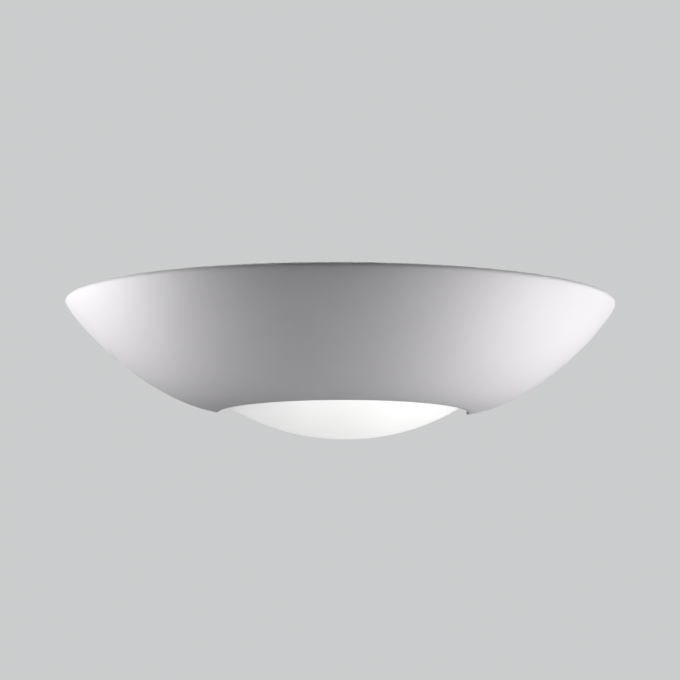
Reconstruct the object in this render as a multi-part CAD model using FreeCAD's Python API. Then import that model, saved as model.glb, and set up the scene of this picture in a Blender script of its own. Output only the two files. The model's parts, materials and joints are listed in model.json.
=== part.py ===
"""Wall uplighter: a half-bowl ceramic shell over a glass dish, hung on a steel wall plate that carries
a linear halogen lamp.

Millimetres. +X along the wall, +Y into the wall, +Z up. The wall is the plane Y = 0, and the origin is
midway between the two wall screws. The shell comes off forwards and slightly up, along the ear slots.
"""
import FreeCAD
import Part

import math
import os

Vector = FreeCAD.Vector

# ---- Shell: a bowl whose level sections are half ellipses -------------------------------------------
SHELL_WIDTH = 400.0
SHELL_PROJECTION = 140.0
SHELL_HEIGHT = 82.8
RIM_LEVEL = 26.0
SHELL_WALL = 7.0
RIM_ROUND = 2.5
FLANK_LEAN = 22.9            # degrees off the vertical, where the flank leaves the rim
FLANK_PULL = 20.4            # how far the flank keeps that lean
FLOOR_PULL = 55.8            # how far the floor runs level before it turns up
FLOOR_HALF_WIDTH = 78.3      # where the flank meets the level floor
OPENING_WIDTH = 179.4
OPENING_PROJECTION = 63.2
OPENING_ROUND = 1.5

# ---- Glass dish in the shell's floor ----------------------------------------------------------------
GLASS_RADIUS = 164.6         # of its underside, along the wall
GLASS_THICKNESS = 4.0
GLASS_RIM_MARGIN = 8.0       # how far the glass reaches past the opening
GLASS_EDGE_GAP = 0.3         # at least, over the opening's edge
GLASS_WALL_GAP = 1.5
GLASS_EDGE_ROUND = 0.8
SEAL_RADIUS = 0.9
SEAL_SEAT_GAP = 0.15
SEAL_INSET = 3.4             # from the glass edge to the middle of the sealing cord
SEAL_END_GAP = 2.0

# ---- Clips that hold the glass down -----------------------------------------------------------------
CLIP_ANGLES = (22.0, 90.0, 158.0)
CLIP_THICKNESS = 1.0
CLIP_WIDTH = 9.0
CLIP_REACH = 5.0
CLIP_OVER_GLASS = 0.3
CLIP_BOSS_RADIUS = 5.5
CLIP_BOSS_GAP = 0.6
CLIP_SCREW_RADIUS = 1.5
CLIP_SCREW_GRIP = 6.0

# ---- Lugs, studs and knurled nuts that carry the shell ----------------------------------------------
LUG_INSET = 58.0             # from the rim's tip to the lug's face
LUG_FRONT = 34.0
LUG_BACK = 5.0
LUG_HALF_HEIGHT = 12.0
LUG_ROUND = 2.5
STUD_RADIUS = 2.0
STUD_OFF_WALL = 20.0
STUD_LEVEL = 0.0
STUD_EMBED = 13.0
STUD_REACH = 14.0
STUD_CHAMFER = 0.5
SLOT_SLOPE = 12.0            # degrees that the ear slots climb towards the room
SLIDE_GAP = 0.3
TURN_GAP = 0.05
NUT_RADIUS = 8.0
NUT_LENGTH = 6.0
NUT_HUB_RADIUS = 5.0
NUT_HUB_LENGTH = 2.5
NUT_FLUTES = 20
NUT_FLUTE_RADIUS = 0.6

# ---- Wall plate -------------------------------------------------------------------------------------
PLATE_THICKNESS = 1.5
PLATE_HALF_HEIGHT = 11.0
TAB_HALF_WIDTH = 48.0
TAB_DROP = 42.0
PLATE_CORNER = 5.0
EAR_FRONT = 33.0
EAR_CORNER = 3.0
BEND_RADIUS = 1.2
WALL_SCREW_INSET = 20.2      # from the inside of an ear to its wall screw
WALL_SLOT_LENGTH = 14.0
WALL_SLOT_WIDTH = 5.2
CABLE_HOLE_DROP = 30.0
CABLE_HOLE_RADIUS = 6.5
BUSH_LIP = 2.0
BUSH_LIP_THICKNESS = 1.6
BUSH_LIP_ROUND = 0.9
BUSH_BORE_RADIUS = 4.0

# ---- Lamp bracket and reflector ---------------------------------------------------------------------
LAMP_OFF_WALL = 56.0
LAMP_LEVEL = -8.0
BRACKET_THICKNESS = 1.2
WEB_HALF_HEIGHT = 9.0
ARM_PAST_LAMP = 9.0
ARM_HEAD_HALF_HEIGHT = 13.4
ARM_HEAD_DEPTH = 26.0
ARM_CORNER = 3.0
SPIGOT_HOLE_GAP = 0.1
REFLECTOR_RADIUS = 34.0
REFLECTOR_THICKNESS = 0.8
REFLECTOR_HALF_ANGLE = 50.0
REFLECTOR_END_GAP = 3.2      # from the reflector to each holder's shroud
REFLECTOR_SCREW_SPACING = 72.0
REFLECTOR_SCREW_RADIUS = 2.0
SPACER_RADIUS = 4.0
SCREW_GAP = 0.1
SCREW_END_GAP = 0.2

# ---- Lamp: linear halogen, double-ended, 118 mm size ------------------------------------------------
LAMP_LENGTH = 117.6
CONTACT_RECESS = 1.7
TUBE_RADIUS = 4.0
TUBE_WALL = 1.0
TUBE_END_ROUND = 2.0
CAP_RADIUS = 3.7
CAP_LENGTH = 11.5
CAP_ROUND = 0.5
PINCH_SHOWN = 3.0
PINCH_IN_CAP = 3.0
PINCH_WIDTH = 6.2
PINCH_THICKNESS = 2.4
TIP_RADIUS = 1.1             # of the sealed-off exhaust tube
TIP_END_RADIUS = 0.37
TIP_HEIGHT = 1.6
TIP_OFFSET = 9.0
CONTACT_RADIUS = 2.1
CONTACT_THICKNESS = 0.8
CONTACT_STEM_RADIUS = 0.5
FILAMENT_RADIUS = 0.8
FILAMENT_WIRE_RADIUS = 0.18
FILAMENT_TURNS = 36
FILAMENT_TAIL = 9.0
SUPPORT_WIRE_RADIUS = 0.2
SUPPORT_COUNT = 4
SUPPORT_GAP = 0.05

# ---- Lampholders ------------------------------------------------------------------------------------
LAMP_PRESS = 4.0             # how far each end of the lamp can push its sprung contact
HOLDER_RADIUS = 6.4
HOLDER_ENGAGE = 3.6          # how far the lamp end sits inside the shroud
HOLDER_CAVITY_RADIUS = 4.5
HOLDER_END_GAP = 0.6
HOLDER_WEB = 1.6
HOLDER_ROUND = 0.8
CHAMBER_RADIUS = 3.2
CHAMBER_LENGTH = 16.0
HOLDER_REAR_WALL = 1.5
FLANGE_THICKNESS = 4.0
FLANGE_HALF_WIDTH = 6.4
SPIGOT_RADIUS = 4.0
SPIGOT_PAST_ARM = 2.0
HOLDER_SCREW_OFFSET = 9.9
HOLDER_SCREW_RADIUS = 1.5
HOLDER_NUT_RADIUS = 3.1
HOLDER_NUT_THICKNESS = 2.2
SCREW_PAST_NUT = 1.0
PIN_RADIUS = 1.5
PIN_ROUND = 0.75
PIN_CONTACT_GAP = 0.05
COLLAR_RADIUS = 2.7
COLLAR_THICKNESS = 1.2
TAIL_RADIUS = 0.9
TAIL_IN_SLEEVE = 3.0
SLEEVE_RADIUS = 1.9
SLEEVE_PAST_ARM = 9.0
SLEEVE_END_GAP = 0.5
SPRING_WIRE_RADIUS = 0.25
SPRING_RADIUS = 2.45
SPRING_TURNS = 6

# ---- Terminal block, leads and earth ----------------------------------------------------------------
POLE_PITCH = 10.0
POLE_COUNT = 3
BLOCK_DEPTH = 14.0
BLOCK_HEIGHT = 18.0
BLOCK_TOP = 0.0
BLOCK_GROOVE_DEPTH = 1.4
BLOCK_GROOVE_WIDTH = 1.2
TERMINAL_RADIUS = 2.9
TERMINAL_END_GAP = 1.0
SUPPLY_BORE_RADIUS = 1.75
LEAD_BORE_RADIUS = 1.2
TERMINAL_STOP = 1.0
CLAMP_SCREW_RADIUS = 1.1
CLAMP_SCREW_PITCH = 8.0
BLOCK_SCREW_RADIUS = 1.4
BLOCK_SCREW_SINK = 3.0
LEAD_RADIUS = 1.3
CONDUCTOR_RADIUS = 0.7
LEAD_RISE = 16.0
LEAD_PAST_SLEEVE = 13.0
LEAD_BEND = 8.0
LEAD_SIDE_BEND = 18.0
EARTH_PAST_REFLECTOR = 10.0
EARTH_SCREW_RADIUS = 2.0
EARTH_RING_RADIUS = 4.2
EARTH_RING_THICKNESS = 0.8
EARTH_RING_GAP = 0.3
EARTH_WASHER_THICKNESS = 0.6
EARTH_BARREL_RADIUS = 1.9
EARTH_BARREL_LENGTH = 6.0
EARTH_TONGUE_HALF_WIDTH = 1.5
EARTH_LEAD_RISE = 11.0
EARTH_LEAD_BEND = 6.0
EARTH_LEAD_SLANT = 28.0

# ---- Screw heads ------------------------------------------------------------------------------------
HEAD_SHARE = 1.9             # head radius over thread radius
HEAD_HEIGHT_SHARE = 1.2      # head height over thread radius
HEAD_ROUND_SHARE = 0.45      # head edge round over head height
DRIVE_DEPTH_SHARE = 0.6      # cross recess depth over head height
DRIVE_WIDTH_SHARE = 0.35     # cross recess width over thread radius
DRIVE_REACH_SHARE = 0.6      # cross recess half length over head radius

# ---- Places worked out from the sizes above ---------------------------------------------------------
PAST = 2.0                   # how far a cutting shape runs past what it cuts
FLOOR_LEVEL = RIM_LEVEL - SHELL_HEIGHT
LEAN = math.radians(FLANK_LEAN)
LIP_WIDTH = SHELL_WALL / math.cos(LEAN)
LIP_ANGLE = math.pi / 2 - LEAN
TIP_CUT = RIM_ROUND / math.tan(LIP_ANGLE / 2)
TIP_HALF = SHELL_WIDTH / 2 + TIP_CUT - RIM_ROUND
INNER_TIP_HALF = TIP_HALF - LIP_WIDTH
INNER_TIP_CUT = RIM_ROUND * math.tan(LIP_ANGLE / 2)
SQUASH = SHELL_PROJECTION / (SHELL_WIDTH / 2)
INNER_SQUASH = (TIP_HALF * SQUASH - LIP_WIDTH) / INNER_TIP_HALF
INNER_SHARE = 1 - SHELL_WALL / SHELL_HEIGHT
OPENING_HALF = OPENING_WIDTH / 2
OPENING_SQUASH = OPENING_PROJECTION / OPENING_HALF
GLASS_HALF = OPENING_HALF + GLASS_RIM_MARGIN

CONTACT_X = LAMP_LENGTH / 2 - CONTACT_RECESS
CAP_X = LAMP_LENGTH / 2 - CAP_LENGTH
TUBE_END_X = CAP_X - PINCH_SHOWN
SHROUD_X = LAMP_LENGTH / 2 - HOLDER_ENGAGE
CAVITY_END_X = LAMP_LENGTH / 2 + LAMP_PRESS + HOLDER_END_GAP
CHAMBER_X = CAVITY_END_X + HOLDER_WEB
CHAMBER_END_X = CHAMBER_X + CHAMBER_LENGTH
ARM_X = CHAMBER_END_X + HOLDER_REAR_WALL
ARM_OUTER_X = ARM_X + BRACKET_THICKNESS
COLLAR_X = CHAMBER_X + LAMP_PRESS
TAIL_TIP_X = CHAMBER_END_X + TAIL_IN_SLEEVE
SLEEVE_X = TAIL_TIP_X - LAMP_PRESS - TAIL_IN_SLEEVE
SLEEVE_STOP_X = TAIL_TIP_X + LAMP_PRESS + SLEEVE_END_GAP
SLEEVE_END_X = ARM_OUTER_X + SLEEVE_PAST_ARM
LEAD_TURN_X = SLEEVE_END_X + LEAD_PAST_SLEEVE
REFLECTOR_HALF_LENGTH = SHROUD_X - REFLECTOR_END_GAP
EARTH_X = -REFLECTOR_HALF_LENGTH - EARTH_PAST_REFLECTOR

WEB_FRONT = PLATE_THICKNESS + BRACKET_THICKNESS
WEB_TOP = LAMP_LEVEL + WEB_HALF_HEIGHT
REFLECTOR_FRONT = LAMP_OFF_WALL - REFLECTOR_RADIUS
BLOCK_FRONT = WEB_FRONT + BLOCK_DEPTH
BLOCK_BOTTOM = BLOCK_TOP - BLOCK_HEIGHT
BLOCK_MIDDLE = BLOCK_TOP - BLOCK_HEIGHT / 2
TERMINAL_OFF_WALL = WEB_FRONT + BLOCK_DEPTH / 2
POLE_XS = [POLE_PITCH * (i - (POLE_COUNT - 1) / 2) for i in range(POLE_COUNT)]
BETWEEN_POLES = [(a + b) / 2 for a, b in zip(POLE_XS, POLE_XS[1:])]
LUG_FACE_X = SHELL_WIDTH / 2 - LUG_INSET
EAR_OUTER_X = LUG_FACE_X - SLIDE_GAP
EAR_INNER_X = EAR_OUTER_X - PLATE_THICKNESS
NUT_X = EAR_INNER_X - SLIDE_GAP
WALL_SCREW_X = EAR_INNER_X - WALL_SCREW_INSET
CABLE_HOLE_LEVEL = -CABLE_HOLE_DROP
EARTH_LEVEL = WEB_TOP + EARTH_RING_RADIUS + EARTH_RING_GAP
EARTH_LEAD_OFF_WALL = PLATE_THICKNESS + EARTH_BARREL_RADIUS + EARTH_RING_GAP
SLIDE_WAY = Vector(0, -math.cos(math.radians(SLOT_SLOPE)), math.sin(math.radians(SLOT_SLOPE)))


# ---- Small helpers ----------------------------------------------------------------------------------
def box(x0, x1, y0, y1, z0, z1):
    """A box between two corners, given in any order."""
    low = Vector(min(x0, x1), min(y0, y1), min(z0, z1))
    return Part.makeBox(abs(x1 - x0), abs(y1 - y0), abs(z1 - z0), low)


def rod(radius, start, end):
    """A round bar from start to end."""
    along = end - start
    return Part.makeCylinder(radius, along.Length, start, along)


def joined(first, *others):
    """One solid from pieces that meet."""
    return first.fuse(list(others)).removeSplitter()


def group(solids):
    """Separate solids that share a node."""
    return Part.makeCompound(list(solids))


def mirrored(shape):
    """The same piece on the other side of the middle."""
    return shape.mirror(Vector(0, 0, 0), Vector(1, 0, 0))


def both_sides(shape):
    """The piece and its twin on the other side, as two solids."""
    return group([shape, mirrored(shape)])


def squashed(shape, share):
    """The shape with its depth from the wall taken to a share of itself."""
    matrix = FreeCAD.Matrix()
    matrix.A22 = share
    return shape.transformGeometry(matrix)


def prism(outline, along):
    """A flat outline of points pushed along a vector."""
    return Part.Face(Part.makePolygon(list(outline) + [outline[0]])).extrude(along)


def near(value, wanted, within=0.01):
    return abs(value - wanted) < within


def edges_along(shape, way, at):
    """Straight edges that run along way and whose middle passes the test at."""
    found = []
    for edge in shape.Edges:
        if edge.Curve.TypeId == "Part::GeomLine":
            run = edge.Vertexes[-1].Point - edge.Vertexes[0].Point
            if run.cross(way).Length < 0.01 * run.Length and at(edge.CenterOfMass):
                found.append(edge)
    return found


def circles_at(shape, middle):
    """Round edges about one point."""
    return [e for e in shape.Edges
            if e.Curve.TypeId == "Part::GeomCircle" and e.Curve.Center.distanceToPoint(middle) < 0.01]


def rounded_path(points, radii):
    """Straight runs joined by a tangent arc at each inner point, as one wire."""
    edges = []
    here = points[0]
    for before, corner, after, radius in zip(points, points[1:], points[2:], radii):
        back = (before - corner).normalize()
        on = (after - corner).normalize()
        half = back.getAngle(on) / 2
        reach = radius / math.tan(half)
        middle = corner + (back + on).normalize() * (radius / math.sin(half) - radius)
        start = corner + back * reach
        end = corner + on * reach
        edges.append(Part.LineSegment(here, start).toShape())
        edges.append(Part.Arc(start, middle, end).toShape())
        here = end
    edges.append(Part.LineSegment(here, points[-1]).toShape())
    return Part.Wire(edges)


def pipe(path, radius):
    """A round bar along a wire."""
    first = path.OrderedEdges[0]
    start = path.OrderedVertexes[0].Point
    section = Part.Wire(Part.makeCircle(radius, start, first.tangentAt(first.FirstParameter)))
    return path.makePipeShell([section], True, False)


def arc_from(start, way, end):
    """The round edge that leaves start along way and reaches end."""
    chord = end - start
    reach = chord.Length
    along = chord * (1 / reach)
    swell = (way - along * way.dot(along)).normalize()
    return Part.Arc(start, (start + end) / 2 + swell * (reach / 2 * math.tan(way.getAngle(along) / 2)), end)


def two_arcs(start, way, end, end_way):
    """Two round edges that meet smoothly, leaving start along way and reaching end along end_way."""
    chord = end - start
    ways = way + end_way
    bend = 2 * (1 - way.dot(end_way))
    run = (math.sqrt(chord.dot(ways) ** 2 + bend * chord.dot(chord)) - chord.dot(ways)) / bend
    meeting = (start + way * run + end - end_way * run) / 2
    back = arc_from(end, end_way * -1, meeting)
    middle = back.value((back.FirstParameter + back.LastParameter) / 2)
    return [arc_from(start, way, meeting).toShape(), Part.Arc(meeting, middle, end).toShape()]


def coil(radius, wire_radius, start, length, turns):
    """A helical wire along +X from start, as long over all as length, on two arcs each half turn."""
    pitch = (length - 2 * wire_radius) / turns
    first = start + Vector(wire_radius, 0, 0)
    edges = []
    for i in range(2 * turns):
        here, there = (first + Vector(pitch * n / 2, 0, -radius * (-1) ** n) for n in (i, i + 1))
        way, next_way = (Vector(pitch, math.pi * 2 * radius * (-1) ** n, 0).normalize() for n in (i, i + 1))
        edges += two_arcs(here, way, there, next_way)
    return pipe(Part.Wire(edges), wire_radius)


def head_height(radius):
    return radius * HEAD_HEIGHT_SHARE


def screw(radius, under_head, way, length):
    """A pan-head screw with a cross recess: its shank runs from under_head along way."""
    way = Vector(way).normalize()
    head_radius = radius * HEAD_SHARE
    height = head_height(radius)
    top = under_head - way * height
    head = rod(head_radius, under_head, top)
    head = head.makeFillet(height * HEAD_ROUND_SHARE, circles_at(head, top))
    body = joined(head, rod(radius, under_head, under_head + way * length))
    side = way.cross(Vector(0, 0, 1)) if abs(way.z) < 0.9 else way.cross(Vector(1, 0, 0))
    side.normalize()
    other = way.cross(side)
    reach = head_radius * DRIVE_REACH_SHARE
    width = radius * DRIVE_WIDTH_SHARE / 2
    for a, b in ((side, other), (other, side)):
        cross = [top + a * sa * reach + b * sb * width for sa, sb in ((-1, -1), (1, -1), (1, 1), (-1, 1))]
        body = body.cut(prism([p - way for p in cross], way * (1 + height * DRIVE_DEPTH_SHARE)))
    return body


def hexagon_nut(corner_radius, hole_radius, start, along):
    """A hexagonal nut on the X axis of start."""
    corners = [start + Vector(0, corner_radius * math.cos(math.radians(60 * i)),
                              corner_radius * math.sin(math.radians(60 * i))) for i in range(6)]
    return prism(corners, along).cut(rod(hole_radius, start, start + along))


# ---- Shell ------------------------------------------------------------------------------------------
DOWN_FLANK = Vector(-math.sin(LEAN), 0, -math.cos(LEAN))


def line(a, b):
    return Part.LineSegment(a, b).toShape()


def flank(tip_half_width, tip_cut, floor_level, pull_share):
    """The bowl's outline in the wall plane: it leaves the rim at the lean and ends level."""
    tip = Vector(tip_half_width, 0, RIM_LEVEL)
    foot = Vector(FLOOR_HALF_WIDTH, 0, floor_level)
    pulled = tip + DOWN_FLANK * FLANK_PULL * pull_share
    curve = Part.BezierCurve()
    curve.setPoles([tip + DOWN_FLANK * tip_cut, pulled, foot + Vector(FLOOR_PULL * pull_share, 0, 0), foot])
    return curve


OUTER_FLANK = flank(TIP_HALF, TIP_CUT, FLOOR_LEVEL, 1.0)
INNER_FLANK = flank(INNER_TIP_HALF, INNER_TIP_CUT, FLOOR_LEVEL + SHELL_WALL, INNER_SHARE)


def level_at(curve, half_width):
    """How high an outline lies where it is half_width from the middle."""
    low, high = 0.0, 1.0
    for _ in range(40):
        middle = (low + high) / 2
        if curve.value(middle).x > half_width:
            low = middle
        else:
            high = middle
    return curve.value(low).z


def half_turned(outline, share):
    """The half bowl that an outline from the axis back to the axis sweeps in front of the wall."""
    face = Part.Face(Part.Wire(outline))
    return squashed(face.revolve(Vector(0, 0, 0), Vector(0, 0, 1), -180), share)


def rim_arc(curve, flat_x, centre):
    """The rounded edge of the lip, from its flat top to the flank."""
    start = Vector(flat_x, 0, RIM_LEVEL)
    end = curve.value(0)
    across = ((start - centre) + (end - centre)).normalize()
    return Part.Arc(start, centre + across * RIM_ROUND, end).toShape()


def shell_outside():
    """The bowl's outer form, solid."""
    flat_x = TIP_HALF - TIP_CUT
    arc = rim_arc(OUTER_FLANK, flat_x, Vector(flat_x, 0, RIM_LEVEL - RIM_ROUND))
    top = Vector(0, 0, RIM_LEVEL)
    foot = Vector(0, 0, FLOOR_LEVEL)
    outline = [line(top, Vector(flat_x, 0, RIM_LEVEL)), arc, OUTER_FLANK.toShape(),
               line(OUTER_FLANK.value(1), foot), line(foot, top)]
    return half_turned(outline, SQUASH)


def shell_inside():
    """The bowl's hollow, open above the rim, with the lip's inner edge rounded."""
    flat_x = INNER_TIP_HALF + INNER_TIP_CUT
    arc = rim_arc(INNER_FLANK, flat_x, Vector(flat_x, 0, RIM_LEVEL - RIM_ROUND))
    above = Vector(0, 0, RIM_LEVEL + PAST)
    edge_above = Vector(flat_x, 0, RIM_LEVEL + PAST)
    foot = Vector(0, 0, FLOOR_LEVEL + SHELL_WALL)
    outline = [line(above, edge_above), line(edge_above, Vector(flat_x, 0, RIM_LEVEL)), arc,
               INNER_FLANK.toShape(), line(INNER_FLANK.value(1), foot), line(foot, above)]
    return half_turned(outline, INNER_SQUASH)


def floor_opening():
    """What the opening takes out of the floor, flared below so that the edge there is round."""
    foot = level_at(OUTER_FLANK, OPENING_HALF + OPENING_ROUND)
    flare_x = OPENING_HALF + OPENING_ROUND
    inward = Vector(-math.sqrt(0.5), 0, -math.sqrt(0.5)) * OPENING_ROUND
    centre = Vector(flare_x, 0, foot + OPENING_ROUND)
    points = [Vector(0, 0, foot - PAST), Vector(flare_x, 0, foot - PAST), Vector(flare_x, 0, foot),
              Vector(OPENING_HALF, 0, foot + OPENING_ROUND), Vector(OPENING_HALF, 0, CLIP_LEVEL),
              Vector(0, 0, CLIP_LEVEL)]
    outline = [line(a, b) for a, b in zip(points, points[1:] + points[:1])]
    outline[2] = Part.Arc(points[2], centre + inward, points[3]).toShape()
    return half_turned(outline, OPENING_SQUASH)


def lug():
    """The moulded lug inside the right flank that holds a stud."""
    block = box(LUG_FACE_X, SHELL_WIDTH / 2, -LUG_FRONT, -LUG_BACK, -LUG_HALF_HEIGHT, LUG_HALF_HEIGHT)
    return block.makeFillet(LUG_ROUND, edges_along(block, Vector(1, 0, 0), lambda p: True))


def stud_hole():
    face = Vector(LUG_FACE_X, -STUD_OFF_WALL, STUD_LEVEL)
    return rod(STUD_RADIUS, face, face + Vector(STUD_EMBED, 0, 0))


def clip_places():
    """The middle of each boss, and the way from it towards the glass."""
    places = []
    for angle in CLIP_ANGLES:
        a = math.radians(angle)
        edge = Vector(GLASS_HALF * math.cos(a), -GLASS_HALF * OPENING_SQUASH * math.sin(a), 0)
        out = Vector(OPENING_SQUASH * math.cos(a), -math.sin(a), 0).normalize()
        places.append((edge + out * (CLIP_BOSS_RADIUS + CLIP_BOSS_GAP), -out))
    return places


def ceramic_shell():
    inside = shell_inside()
    bowl = shell_outside().cut(inside)
    for piece in (lug(), mirrored(lug())):
        bowl = bowl.fuse(piece.common(inside))
    for middle, _ in clip_places():
        boss = rod(CLIP_BOSS_RADIUS, middle + Vector(0, 0, FLOOR_LEVEL), middle + Vector(0, 0, CLIP_LEVEL))
        bowl = bowl.fuse(boss.common(inside))
    bowl = bowl.cut(floor_opening()).removeSplitter()
    for hole in (stud_hole(), mirrored(stud_hole())):
        bowl = bowl.cut(hole)
    for middle, _ in clip_places():
        top = middle + Vector(0, 0, CLIP_LEVEL)
        bowl = bowl.cut(rod(CLIP_SCREW_RADIUS, top - Vector(0, 0, CLIP_SCREW_GRIP), top))
    return bowl


def shell_studs():
    start = Vector(LUG_FACE_X - STUD_REACH, -STUD_OFF_WALL, STUD_LEVEL)
    end = Vector(LUG_FACE_X + STUD_EMBED, -STUD_OFF_WALL, STUD_LEVEL)
    stud = rod(STUD_RADIUS, start, end)
    stud = stud.makeChamfer(STUD_CHAMFER, circles_at(stud, start))
    return both_sides(stud)


def thumb_nut():
    """The knurled nut inside the right ear."""
    middle = Vector(0, -STUD_OFF_WALL, STUD_LEVEL)
    face = middle + Vector(NUT_X, 0, 0)
    shoulder = face - Vector(NUT_LENGTH, 0, 0)
    nut = joined(rod(NUT_RADIUS, face, shoulder),
                 rod(NUT_HUB_RADIUS, shoulder, shoulder - Vector(NUT_HUB_LENGTH, 0, 0)))
    for i in range(NUT_FLUTES):
        a = 2 * math.pi * i / NUT_FLUTES
        flute = Vector(0, NUT_RADIUS * math.cos(a), NUT_RADIUS * math.sin(a))
        nut = nut.cut(rod(NUT_FLUTE_RADIUS, face + flute, shoulder + flute))
    reach = Vector(NUT_LENGTH + NUT_HUB_LENGTH, 0, 0)
    return nut.cut(rod(STUD_RADIUS + TURN_GAP, face, face - reach))


# ---- Glass ------------------------------------------------------------------------------------------
def glass_drop(radius, half_width):
    """How far a round of this radius falls from half_width out to its lowest point."""
    return radius - math.sqrt(radius ** 2 - half_width ** 2)


def floor_along(half_width):
    """How high the inner floor reaches along an ellipse shaped like the opening."""
    return level_at(INNER_FLANK, half_width * max(1, OPENING_SQUASH / INNER_SQUASH))


SEAL_HALF = GLASS_HALF - SEAL_INSET
SEAL_LEVEL = floor_along(SEAL_HALF) + SEAL_SEAT_GAP + SEAL_RADIUS
GLASS_SLOPE = SEAL_HALF / math.sqrt(GLASS_RADIUS ** 2 - SEAL_HALF ** 2) / min(1, OPENING_SQUASH)
ON_SEAL = SEAL_LEVEL + (SEAL_RADIUS + SEAL_SEAT_GAP) * math.hypot(1, GLASS_SLOPE)
OVER_EDGE = floor_along(OPENING_HALF) + GLASS_EDGE_GAP
GLASS_BOTTOM = max(ON_SEAL - glass_drop(GLASS_RADIUS, SEAL_HALF),
                   OVER_EDGE - glass_drop(GLASS_RADIUS, OPENING_HALF))
GLASS_CENTRE = GLASS_BOTTOM + GLASS_RADIUS
GLASS_INNER_RADIUS = GLASS_RADIUS - GLASS_THICKNESS
GLASS_RIM_TOP = GLASS_CENTRE - math.sqrt(GLASS_INNER_RADIUS ** 2 - GLASS_HALF ** 2)
CLIP_LEVEL = GLASS_RIM_TOP + CLIP_OVER_GLASS


def glass_diffuser():
    """A slumped half dish: its level sections are half ellipses like the opening."""
    centre = Vector(0, 0, GLASS_CENTRE)
    blank = rod(GLASS_HALF, Vector(0, 0, GLASS_BOTTOM - PAST), Vector(0, 0, GLASS_RIM_TOP + PAST))
    dish = blank.common(Part.makeSphere(GLASS_RADIUS, centre))
    dish = dish.cut(Part.makeSphere(GLASS_INNER_RADIUS, centre))
    reach = GLASS_HALF + PAST
    dish = dish.cut(box(-reach, reach, -GLASS_WALL_GAP / OPENING_SQUASH, reach, -SHELL_WIDTH, SHELL_WIDTH))
    arcs = [e for e in dish.Edges if e.Curve.TypeId == "Part::GeomCircle"]
    return squashed(dish.makeFillet(GLASS_EDGE_ROUND, arcs), OPENING_SQUASH)


def glass_seal():
    """The heat-proof cord that beds the glass round the opening."""
    ellipse = Part.Ellipse(Vector(0, 0, SEAL_LEVEL), SEAL_HALF, SEAL_HALF * OPENING_SQUASH)
    skip = SEAL_END_GAP / (SEAL_HALF * OPENING_SQUASH)
    path = Part.Wire([Part.ArcOfEllipse(ellipse, math.pi + skip, 2 * math.pi - skip).toShape()])
    edge = path.Edges[0]
    start = edge.valueAt(edge.FirstParameter)
    section = Part.Wire(Part.makeCircle(SEAL_RADIUS, start, edge.tangentAt(edge.FirstParameter)))
    return path.makePipeShell([section], True, True)


def glass_clip(middle, way):
    """A flat spring clip from a boss to just over the glass."""
    low = middle + Vector(0, 0, CLIP_LEVEL)
    up = Vector(0, 0, CLIP_THICKNESS)
    side = way.cross(Vector(0, 0, 1)) * (CLIP_WIDTH / 2)
    tip = low + way * (CLIP_BOSS_RADIUS + CLIP_BOSS_GAP + CLIP_REACH)
    strip = prism([low + side, tip + side, tip - side, low - side], up)
    clip = joined(strip, rod(CLIP_WIDTH / 2, low, low + up))
    return clip.cut(rod(CLIP_SCREW_RADIUS + SCREW_GAP, low - up, low + up * 2))


def glass_clips():
    return group(glass_clip(middle, way) for middle, way in clip_places())


def clip_screws():
    down = Vector(0, 0, -1)
    length = CLIP_THICKNESS + CLIP_SCREW_GRIP
    return group(screw(CLIP_SCREW_RADIUS, middle + Vector(0, 0, CLIP_LEVEL + CLIP_THICKNESS), down, length)
                 for middle, _ in clip_places())


# ---- Wall plate -------------------------------------------------------------------------------------
def ear_slot():
    """The slot that opens at the front of the right ear and climbs towards the room."""
    half = STUD_RADIUS + SLIDE_GAP
    seat = Vector(EAR_INNER_X - PAST, -STUD_OFF_WALL, STUD_LEVEL)
    through = Vector(PLATE_THICKNESS + 2 * PAST, 0, 0)
    across = Vector(0, SLIDE_WAY.z, -SLIDE_WAY.y) * half
    far = seat + SLIDE_WAY * (EAR_FRONT - STUD_OFF_WALL + PAST) * 2
    return joined(rod(half, seat, seat + through),
                  prism([seat + across, far + across, far - across, seat - across], through))


def wall_slot(x):
    """A level slot for one wall screw."""
    half = WALL_SLOT_WIDTH / 2
    run = (WALL_SLOT_LENGTH - WALL_SLOT_WIDTH) / 2
    front = -PLATE_THICKNESS - PAST
    ends = [rod(half, Vector(x + s * run, front, 0), Vector(x + s * run, PAST, 0)) for s in (-1, 1)]
    return joined(box(x - run, x + run, front, PAST, -half, half), *ends)


def drilled(plate, radius, x, z, depth):
    """A plate with a hole through it along Y, reaching depth from the wall."""
    return plate.cut(rod(radius, Vector(x, PAST, z), Vector(x, -depth - PAST, z)))


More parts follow.
